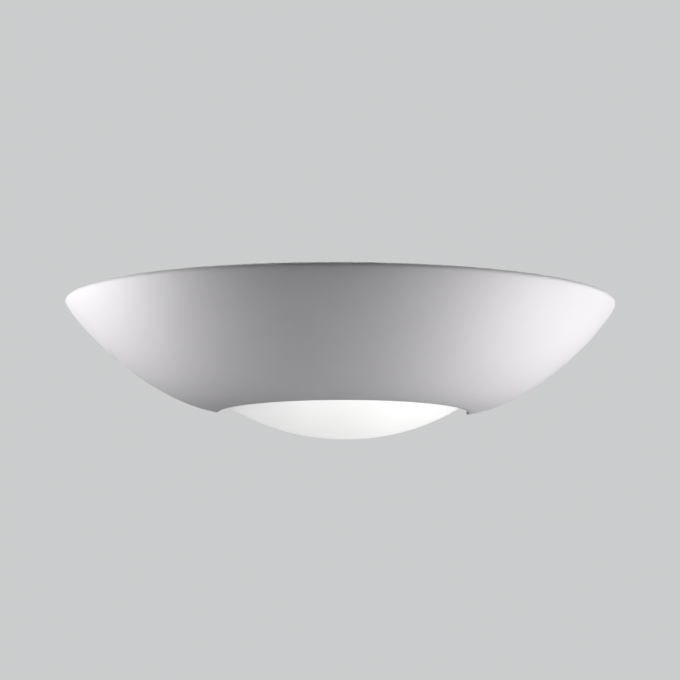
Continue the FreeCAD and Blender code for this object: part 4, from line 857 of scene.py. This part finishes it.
def bowl():
    """The bowl with its lugs and bosses, and the holes for studs and clip screws."""
    def build(bm):
        bm.from_mesh(swept(bowl_outline()))
        closed(bm)
        rounded_back(bm, 0)
    clip_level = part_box("glass_clips")[0][2]
    changes = [("UNION", lug(side)) for side in (-1, 1)]
    changes += [("UNION", boss(place, clip_level)) for place in clip_places()]
    for side in (-1, 1):
        hole = round_outline((-STUD_OFF_WALL, 0), STUD_RADIUS, HOLE_SIDES)
        changes.append(("DIFFERENCE", pushed(
            hole, lambda p: (side * (LUG_FACE_X - MM), p.x, p.y),
            lambda p: (side * (LUG_FACE_X + STUD_EMBED), p.x, p.y))))
    for place in clip_places():
        hole = round_outline(place, CLIP_SCREW_RADIUS, HOLE_SIDES)
        changes.append(("DIFFERENCE", pushed(hole, lambda p: (p.x, p.y, clip_level + MM),
                                             lambda p: (p.x, p.y, clip_level - CLIP_SCREW_GRIP))))
    placed(combined(as_mesh(build, "bowl"), changes), "bowl", "ceramic_shell", smooth_angle=30)


# ---- Glass dish ----------------------------------------------------------------------
DISH_STEPS = 44
EASE_STEPS = 4


def dish():
    """The glass: a slice of a hollow sphere with the opening's outline, its edge rounded."""
    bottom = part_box("glass_diffuser")[0][2]
    half = OPENING_HALF + GLASS_MARGIN
    centre = bottom + GLASS_RADIUS
    inner_radius = GLASS_RADIUS - GLASS_THICKNESS

    def sphere(radius, x):
        return Vector((x, centre - math.sqrt(radius ** 2 - x ** 2)))

    def eased(a, corner, b):
        return [a * (1 - t) ** 2 + corner * 2 * t * (1 - t) + b * t * t
                for t in (i / EASE_STEPS for i in range(1, EASE_STEPS))]
    flat = half - GLASS_EDGE_ROUND
    under = [sphere(GLASS_RADIUS, flat * i / DISH_STEPS) for i in range(DISH_STEPS + 1)]
    over = [sphere(inner_radius, flat * i / DISH_STEPS) for i in range(DISH_STEPS, -1, -1)]
    low, high = sphere(GLASS_RADIUS, half), sphere(inner_radius, half)
    side = (low + Vector((0, GLASS_EDGE_ROUND)), high - Vector((0, GLASS_EDGE_ROUND)))
    outline = under + eased(under[-1], low, side[0]) + list(side) + eased(side[1], high, over[0]) + over

    def build(bm):
        bm.from_mesh(swept([(p.x, p.y, OPENING_SQUASH, OPENING_SQUASH, 0.0) for p in outline]))
        bmesh.ops.remove_doubles(bm, verts=bm.verts, dist=MERGE)
        bmesh.ops.bisect_plane(bm, geom=bm.verts[:] + bm.edges[:] + bm.faces[:],
                               plane_co=(0, -GLASS_WALL_GAP, 0), plane_no=(0, 1, 0), clear_outer=True)
        closed(bm)
        rounded_back(bm, -GLASS_WALL_GAP)
    placed(as_mesh(build, "dish"), "dish", "glass_diffuser", smooth_angle=30)


bowl()
dish()


# ---- Turned, wound and sleeved pieces ------------------------------------------------
def turned(outline, steps, ribs=0, rib_depth=0.0, pitch=MM, thread_depth=0.0):
    """A closed mesh turned about X from points (along, radius, share of the ribs, share of the thread)."""
    return shaped_by(TURNED, outline_mesh(outline, ("ribbed", "threaded")), **{
        "Steps": steps, "Ribs": ribs, "Rib Depth": rib_depth, "Thread Pitch": pitch,
        "Thread Depth": thread_depth})


def gathered(meshes, name, turns):
    """Meshes as one, each merged, closed and moved by its own matrix."""
    def build(bm):
        for mesh, turn in zip(meshes, turns):
            part = bmesh.new()
            part.from_mesh(mesh)
            closed(part)
            part.transform(turn)
            if turn.determinant() < 0:
                bmesh.ops.reverse_faces(part, faces=part.faces)
            held = bpy.data.meshes.new("part")
            part.to_mesh(held)
            part.free()
            bm.from_mesh(held)
            bpy.data.meshes.remove(held)
    return as_mesh(build, name)


def about(x, y, z, side=1):
    """Puts a piece turned about X at a point, facing the other way for the left side."""
    return Matrix.Translation((x, y, z)) @ Matrix.Diagonal((side, 1, 1, 1))


NUT_RADIUS = 8 * MM
NUT_KNURLED = 6 * MM
NUT_HUB_RADIUS = 5 * MM
NUT_HUB = 2.5 * MM
NUT_BORE = 2.05 * MM
NUT_RIBS = 44
NUT_RIB_DEPTH = 0.45 * MM
NUT_CHAMFER = 0.7 * MM
NUT_FILLET = 0.25 * MM
HUB_CHAMFER = 0.4 * MM
BORE_CHAMFER = 0.5 * MM
STUD_REACH = 14 * MM                  # from the lug's face towards the lamp
STUD_CHAMFER = 0.5 * MM
STUD_PLAIN_CUT = 0.2 * MM             # the shank in the lug is this much thinner
THREAD_IN_LUG = 1 * MM
THREAD_PITCH = 0.7 * MM
THREAD_DEPTH = 0.35 * MM
THREAD_POINTS = 6                     # of the outline to a turn of the thread


def thumb_nut(side, word):
    """A knurled nut, its plain face against the ear and its hub towards the lamp."""
    face = max(abs(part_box("thumb_nut_" + word)[i][0]) for i in (0, 1))
    hub = face - NUT_KNURLED - NUT_HUB
    shoulder = face - NUT_KNURLED
    half_way = (face + shoulder) / 2
    crown, mid_chamfer, eased = NUT_RADIUS - NUT_CHAMFER, NUT_RADIUS - 0.5 * NUT_CHAMFER, 0.35 * NUT_CHAMFER
    outline = [(face, NUT_BORE), (face, crown), (face - eased, mid_chamfer),
               (face - NUT_CHAMFER, NUT_RADIUS, 1.0), (half_way, NUT_RADIUS, 1.0),
               (shoulder + NUT_CHAMFER, NUT_RADIUS, 1.0), (shoulder + eased, mid_chamfer),
               (shoulder, crown), (shoulder, NUT_HUB_RADIUS + NUT_FILLET),
               (shoulder - NUT_FILLET, NUT_HUB_RADIUS), (hub + HUB_CHAMFER, NUT_HUB_RADIUS),
               (hub + 0.3 * HUB_CHAMFER, NUT_HUB_RADIUS - 0.3 * HUB_CHAMFER),
               (hub, NUT_HUB_RADIUS - HUB_CHAMFER), (hub, NUT_BORE + BORE_CHAMFER),
               (hub + BORE_CHAMFER, NUT_BORE), (face, NUT_BORE)]
    mesh = turned(outline, NUT_RIBS * 4 + 1, ribs=NUT_RIBS, rib_depth=NUT_RIB_DEPTH)
    name = "knurled_nut_" + word
    placed(gathered([mesh], name, [about(0, -STUD_OFF_WALL, 0, side)]), name, "thumb_nut_" + word, 25)


def studs():
    """Both studs: threaded outside the lugs and a little way in, plain from there."""
    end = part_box("shell_studs")[1][0]
    start = LUG_FACE_X - STUD_REACH
    plain = LUG_FACE_X + THREAD_IN_LUG
    steps = int((plain - start) / (THREAD_PITCH / THREAD_POINTS))
    thread = [(start + STUD_CHAMFER + (plain - start - STUD_CHAMFER) * i / steps, STUD_RADIUS, 0.0, 1.0)
              for i in range(steps + 1)]
    shank = STUD_RADIUS - STUD_PLAIN_CUT
    outline = ([(start, 0.0), (start, STUD_RADIUS - STUD_CHAMFER)] + thread
               + [(plain, shank), (end, shank), (end, 0.0)])
    mesh = turned(outline, 25, pitch=THREAD_PITCH, thread_depth=THREAD_DEPTH)
    places = [about(0, -STUD_OFF_WALL, 0, side) for side in (1, -1)]
    placed(gathered([mesh, mesh.copy()], "threaded_studs", places), "threaded_studs", "shell_studs", 25)


def wire_coil(turns, radius, length, wire, steps, sides):
    """A coil along X, its wire in so many steps to a turn and with so many sides."""
    return shaped_by(WOUND, bpy.data.meshes.new("none"), **{
        "Turns": float(turns), "Radius": radius, "Length": length, "Wire Radius": wire, "Steps": steps,
        "Sides": sides})


SPRING_WIRE = 0.25 * MM
SPRING_TURNS = 6.5


def contact_spring(side, word):
    """The spring from the holder's end wall to the pin's collar."""
    low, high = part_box("contact_spring_" + word)
    collar, wall = sorted((abs(low[0]), abs(high[0])))
    radius = (high[2] - low[2]) / 2 - SPRING_WIRE
    coil = wire_coil(SPRING_TURNS, radius, wall - collar - 2 * SPRING_WIRE, SPRING_WIRE, 40, 12)
    name = "coil_spring_" + word
    place = about(side * (collar + SPRING_WIRE), LAMP_AXIS_Y, LAMP_AXIS_Z, side)
    ends = [(side * x, LAMP_AXIS_Y, LAMP_AXIS_Z) for x in (wall, collar)]
    placed(gathered([coil], name, [place]), name, "contact_spring_" + word, 60,
           bends=("pin_" + word, *ends))


FILAMENT_TURNS = 84
FILAMENT_RADIUS = 0.8 * MM
FILAMENT_WIRE = 0.14 * MM
FILAMENT_HALF = 34.3 * MM
TAIL_END = 43.3 * MM
SUPPORT_RADIUS = 2.75 * MM
SUPPORT_WIRE = 0.2 * MM
SUPPORT_LEG_RADIUS = 0.7 * SUPPORT_WIRE
SUPPORT_SIDES = 8
SUPPORTS = 4


def filament():
    """The winding, its tails, and the hooked rings that keep it in the middle of the tube."""
    winding = wire_coil(FILAMENT_TURNS, FILAMENT_RADIUS, 2 * FILAMENT_HALF, FILAMENT_WIRE, 12, 5)
    places = [about(-FILAMENT_HALF, LAMP_AXIS_Y, LAMP_AXIS_Z)]
    meshes = [winding]
    for side in (-1, 1):
        tail = [(FILAMENT_HALF, 0.0), (FILAMENT_HALF, FILAMENT_WIRE), (TAIL_END, FILAMENT_WIRE),
                (TAIL_END, 0.0)]
        meshes.append(turned(tail, 13))
        places.append(about(0, LAMP_AXIS_Y, LAMP_AXIS_Z - FILAMENT_RADIUS, side))
    for i in range(SUPPORTS):
        x = FILAMENT_HALF * (2 * (i + 0.5) / SUPPORTS - 1)
        ring = [(SUPPORT_WIRE * math.cos(a), SUPPORT_RADIUS + SUPPORT_WIRE * math.sin(a))
                for a in (2 * math.pi * k / SUPPORT_SIDES for k in range(SUPPORT_SIDES + 1))]
        meshes.append(turned(ring, 49))
        places.append(about(x, LAMP_AXIS_Y, LAMP_AXIS_Z))
        leg = [(-SUPPORT_WIRE, 0.0), (-SUPPORT_WIRE, SUPPORT_LEG_RADIUS), (SUPPORT_WIRE, SUPPORT_LEG_RADIUS),
               (SUPPORT_WIRE, 0.0)]
        meshes.append(turned(leg, 9))
        stretch = Matrix.Diagonal(((SUPPORT_RADIUS - FILAMENT_RADIUS) / (2 * SUPPORT_WIRE), 1, 1, 1))
        upright = Matrix.Translation((x, LAMP_AXIS_Y, LAMP_AXIS_Z + (SUPPORT_RADIUS + FILAMENT_RADIUS) / 2))
        places.append(upright @ Matrix.Rotation(math.pi / 2, 4, "Y") @ stretch)
    placed(gathered(meshes, "filament_winding", places), "filament_winding", "filament", 60)


LEAD_RADIUS = 1.3 * MM
LEAD_SIDES = 20


def smooth_line(points):
    """Points read from the smooth line that a route makes."""
    data = bpy.data.curves.new("route", "CURVE")
    data.dimensions = "3D"
    data.resolution_u = 10
    spline = data.splines.new("NURBS")
    spline.points.add(len(points) - 1)
    for point, place in zip(spline.points, points):
        point.co = (*place, 1)
    spline.order_u = 3
    spline.use_endpoint_u = True
    carrier = bpy.data.objects.new("route", data)
    bpy.context.scene.collection.objects.link(carrier)
    mesh = bpy.data.meshes.new_from_object(carrier.evaluated_get(bpy.context.evaluated_depsgraph_get()))
    line = [v.co.copy() for v in mesh.vertices]
    bpy.data.objects.remove(carrier)
    return line


def sleeved(name, node, route):
    """A sleeved lead along its route."""
    line = smooth_line([Vector(p) * MM for p in route])

    def build(bm):
        across = (line[1] - line[0]).normalized().orthogonal().normalized()
        rings = []
        for i, place in enumerate(line):
            ahead = (line[min(i + 1, len(line) - 1)] - line[max(i - 1, 0)]).normalized()
            across = (across - ahead * across.dot(ahead)).normalized()
            other = ahead.cross(across)
            rings.append([bm.verts.new(place + (across * math.cos(a) + other * math.sin(a)) * LEAD_RADIUS)
                          for a in (2 * math.pi * k / LEAD_SIDES for k in range(LEAD_SIDES))])
        for low, high in zip(rings, rings[1:]):
            for k in range(LEAD_SIDES):
                n = (k + 1) % LEAD_SIDES
                bm.faces.new((low[k], low[n], high[n], high[k]))
        bm.faces.new(rings[0][::-1])
        bm.faces.new(rings[-1])
        bmesh.ops.recalc_face_normals(bm, faces=bm.faces)
    placed(as_mesh(build, name), name, node, 50)


TO_RIGHT_HOLDER = ((88, -9.7, 16.6), (106.5, -11, 16.6), (107.2, -28, 16.6), (107.2, -46, 16.6),
                   (107.2, -56.5, 15.5), (107.2, -56.6, 4), (107, -56, -5.5), (99, -56, -8), (92.7, -56, -8))
TO_LEFT_HOLDER = tuple((-x, y, z) for x, y, z in TO_RIGHT_HOLDER)
ROUTE_LIVE = ((10, -9.7, 0), (10, -9.7, 8), (11.5, -9.7, 16.5), (22, -9.7, 16.6),
              (50, -9.7, 16.6)) + TO_RIGHT_HOLDER
ROUTE_NEUTRAL = ((0, -9.7, 0), (0, -9.7, 8), (-1.5, -9.7, 16.5), (-12, -9.7, 16.6),
                 (-48, -9.7, 16.6)) + TO_LEFT_HOLDER

thumb_nut(1, "right")
thumb_nut(-1, "left")
studs()
contact_spring(1, "right")
contact_spring(-1, "left")
filament()
sleeved("live_lead", "lead_live", ROUTE_LIVE)
sleeved("neutral_lead", "lead_neutral", ROUTE_NEUTRAL)

MADE = ("ceramic_shell", "glass_diffuser", "thumb_nut_right", "thumb_nut_left", "shell_studs",
        "contact_spring_right", "contact_spring_left", "filament", "lead_live", "lead_neutral")
for node in NODES:
    if node not in MADE:
        dressed(node, node + "_piece")


# ---- Light and setting ---------------------------------------------------------------
FLOOR_DROP = 500 * MM
FLOOR_SPAN = 4000 * MM
PALE = (0.60, 0.605, 0.61, 1)
PALE_PATCH = (0.585, 0.59, 0.595, 1)
UNSEEN_FLOOR = (0.2, 0.2, 0.2, 1)     # what the floor is to the light that it throws back
EVEN_LIGHT = 0.02
FLOOR_EVENNESS = 0.6                  # share of the floor's look that the lamps don't change


def seen_rays(sheet):
    """1 for what the camera sees straight, mirrored or through glass."""
    rays = sheet.add("ShaderNodeLightPath").outputs
    return sheet.math("MAXIMUM", rays["Is Camera Ray"],
                      sheet.math("MAXIMUM", rays["Is Glossy Ray"], rays["Is Transmission Ray"]))


def one_sided_floor():
    """Pale from above, with the object's shadow on it, and clear from below."""
    material = bpy.data.materials.new("pale_floor")
    material.use_nodes = True
    sheet = Sheet(material.node_tree)
    material.node_tree.nodes.clear()
    where = sheet.add("ShaderNodeTexCoord").outputs["Object"]
    shade = sheet.mix(sheet.noise(where, 3.0), PALE, PALE_PATCH)
    seen = seen_rays(sheet)
    lit = sheet.add("ShaderNodeBsdfDiffuse", {"Color": sheet.mix(seen, UNSEEN_FLOOR, shade)}).outputs[0]
    even = sheet.add("ShaderNodeEmission", {"Color": shade}).outputs[0]
    share = sheet.times(seen, FLOOR_EVENNESS)
    solid = sheet.add("ShaderNodeMixShader", {0: share, 1: lit, 2: even}).outputs[0]
    clear = sheet.add("ShaderNodeBsdfTransparent").outputs[0]
    behind = sheet.add("ShaderNodeNewGeometry").outputs["Backfacing"]
    either = sheet.add("ShaderNodeMixShader", {0: behind, 1: solid, 2: clear}).outputs[0]
    sheet.add("ShaderNodeOutputMaterial", {"Surface": either})
    return material


def add_floor():
    def build(bm):
        bmesh.ops.create_grid(bm, x_segments=1, y_segments=1, size=FLOOR_SPAN,
                              matrix=Matrix.Translation((0, 0, -FLOOR_DROP)))
    mesh = as_mesh(build, "floor")
    mesh.materials.append(one_sided_floor())
    floor = bpy.data.objects.new("floor", mesh)
    bpy.context.scene.collection.objects.link(floor)


LIT_PLACE = (0, -0.06, 0)
NARROW = math.radians(30)
LIGHTS = (("left_light", (-0.36, -0.10, -0.05), 0.3, 0.75, math.pi),
          ("right_light", (0.36, -0.20, -0.20), 0.3, 1.12, math.pi),
          ("far_right_light", (1.35, -0.40, 0.15), 0.7, 5.6, math.pi),
          ("top_light", (0, 0.35, 1.3), 0.5, 0.35, NARROW),
          ("back_light", (0.2, 1.5, 0.35), 0.6, 0.3, NARROW))


def add_light(name, place, size, power, spread):
    data = bpy.data.lights.new(name, "AREA")
    data.shape = "DISK"
    data.size = size
    data.energy = power
    data.spread = spread
    lamp = bpy.data.objects.new(name, data)
    lamp.location = place
    lamp.visible_camera = False
    lamp.rotation_euler = (Vector(LIT_PLACE) - Vector(place)).to_track_quat("-Z", "Y").to_euler()
    bpy.context.scene.collection.objects.link(lamp)


def add_world():
    """A low even light, with a pale colour behind everything."""
    world = bpy.data.worlds.new("world")
    bpy.context.scene.world = world
    world.use_nodes = True
    world.node_tree.nodes.clear()
    sheet = Sheet(world.node_tree)
    light = sheet.add("ShaderNodeBackground", {"Color": (1, 1, 1, 1), "Strength": EVEN_LIGHT}).outputs[0]
    pale = sheet.add("ShaderNodeBackground", {"Color": PALE, "Strength": 1.0}).outputs[0]
    both = sheet.add("ShaderNodeMixShader", {0: seen_rays(sheet), 1: light, 2: pale}).outputs[0]
    sheet.add("ShaderNodeOutputWorld", {"Surface": both})


add_floor()
add_world()
for light in LIGHTS:
    add_light(*light)
bpy.context.scene.view_settings.view_transform = "Standard"
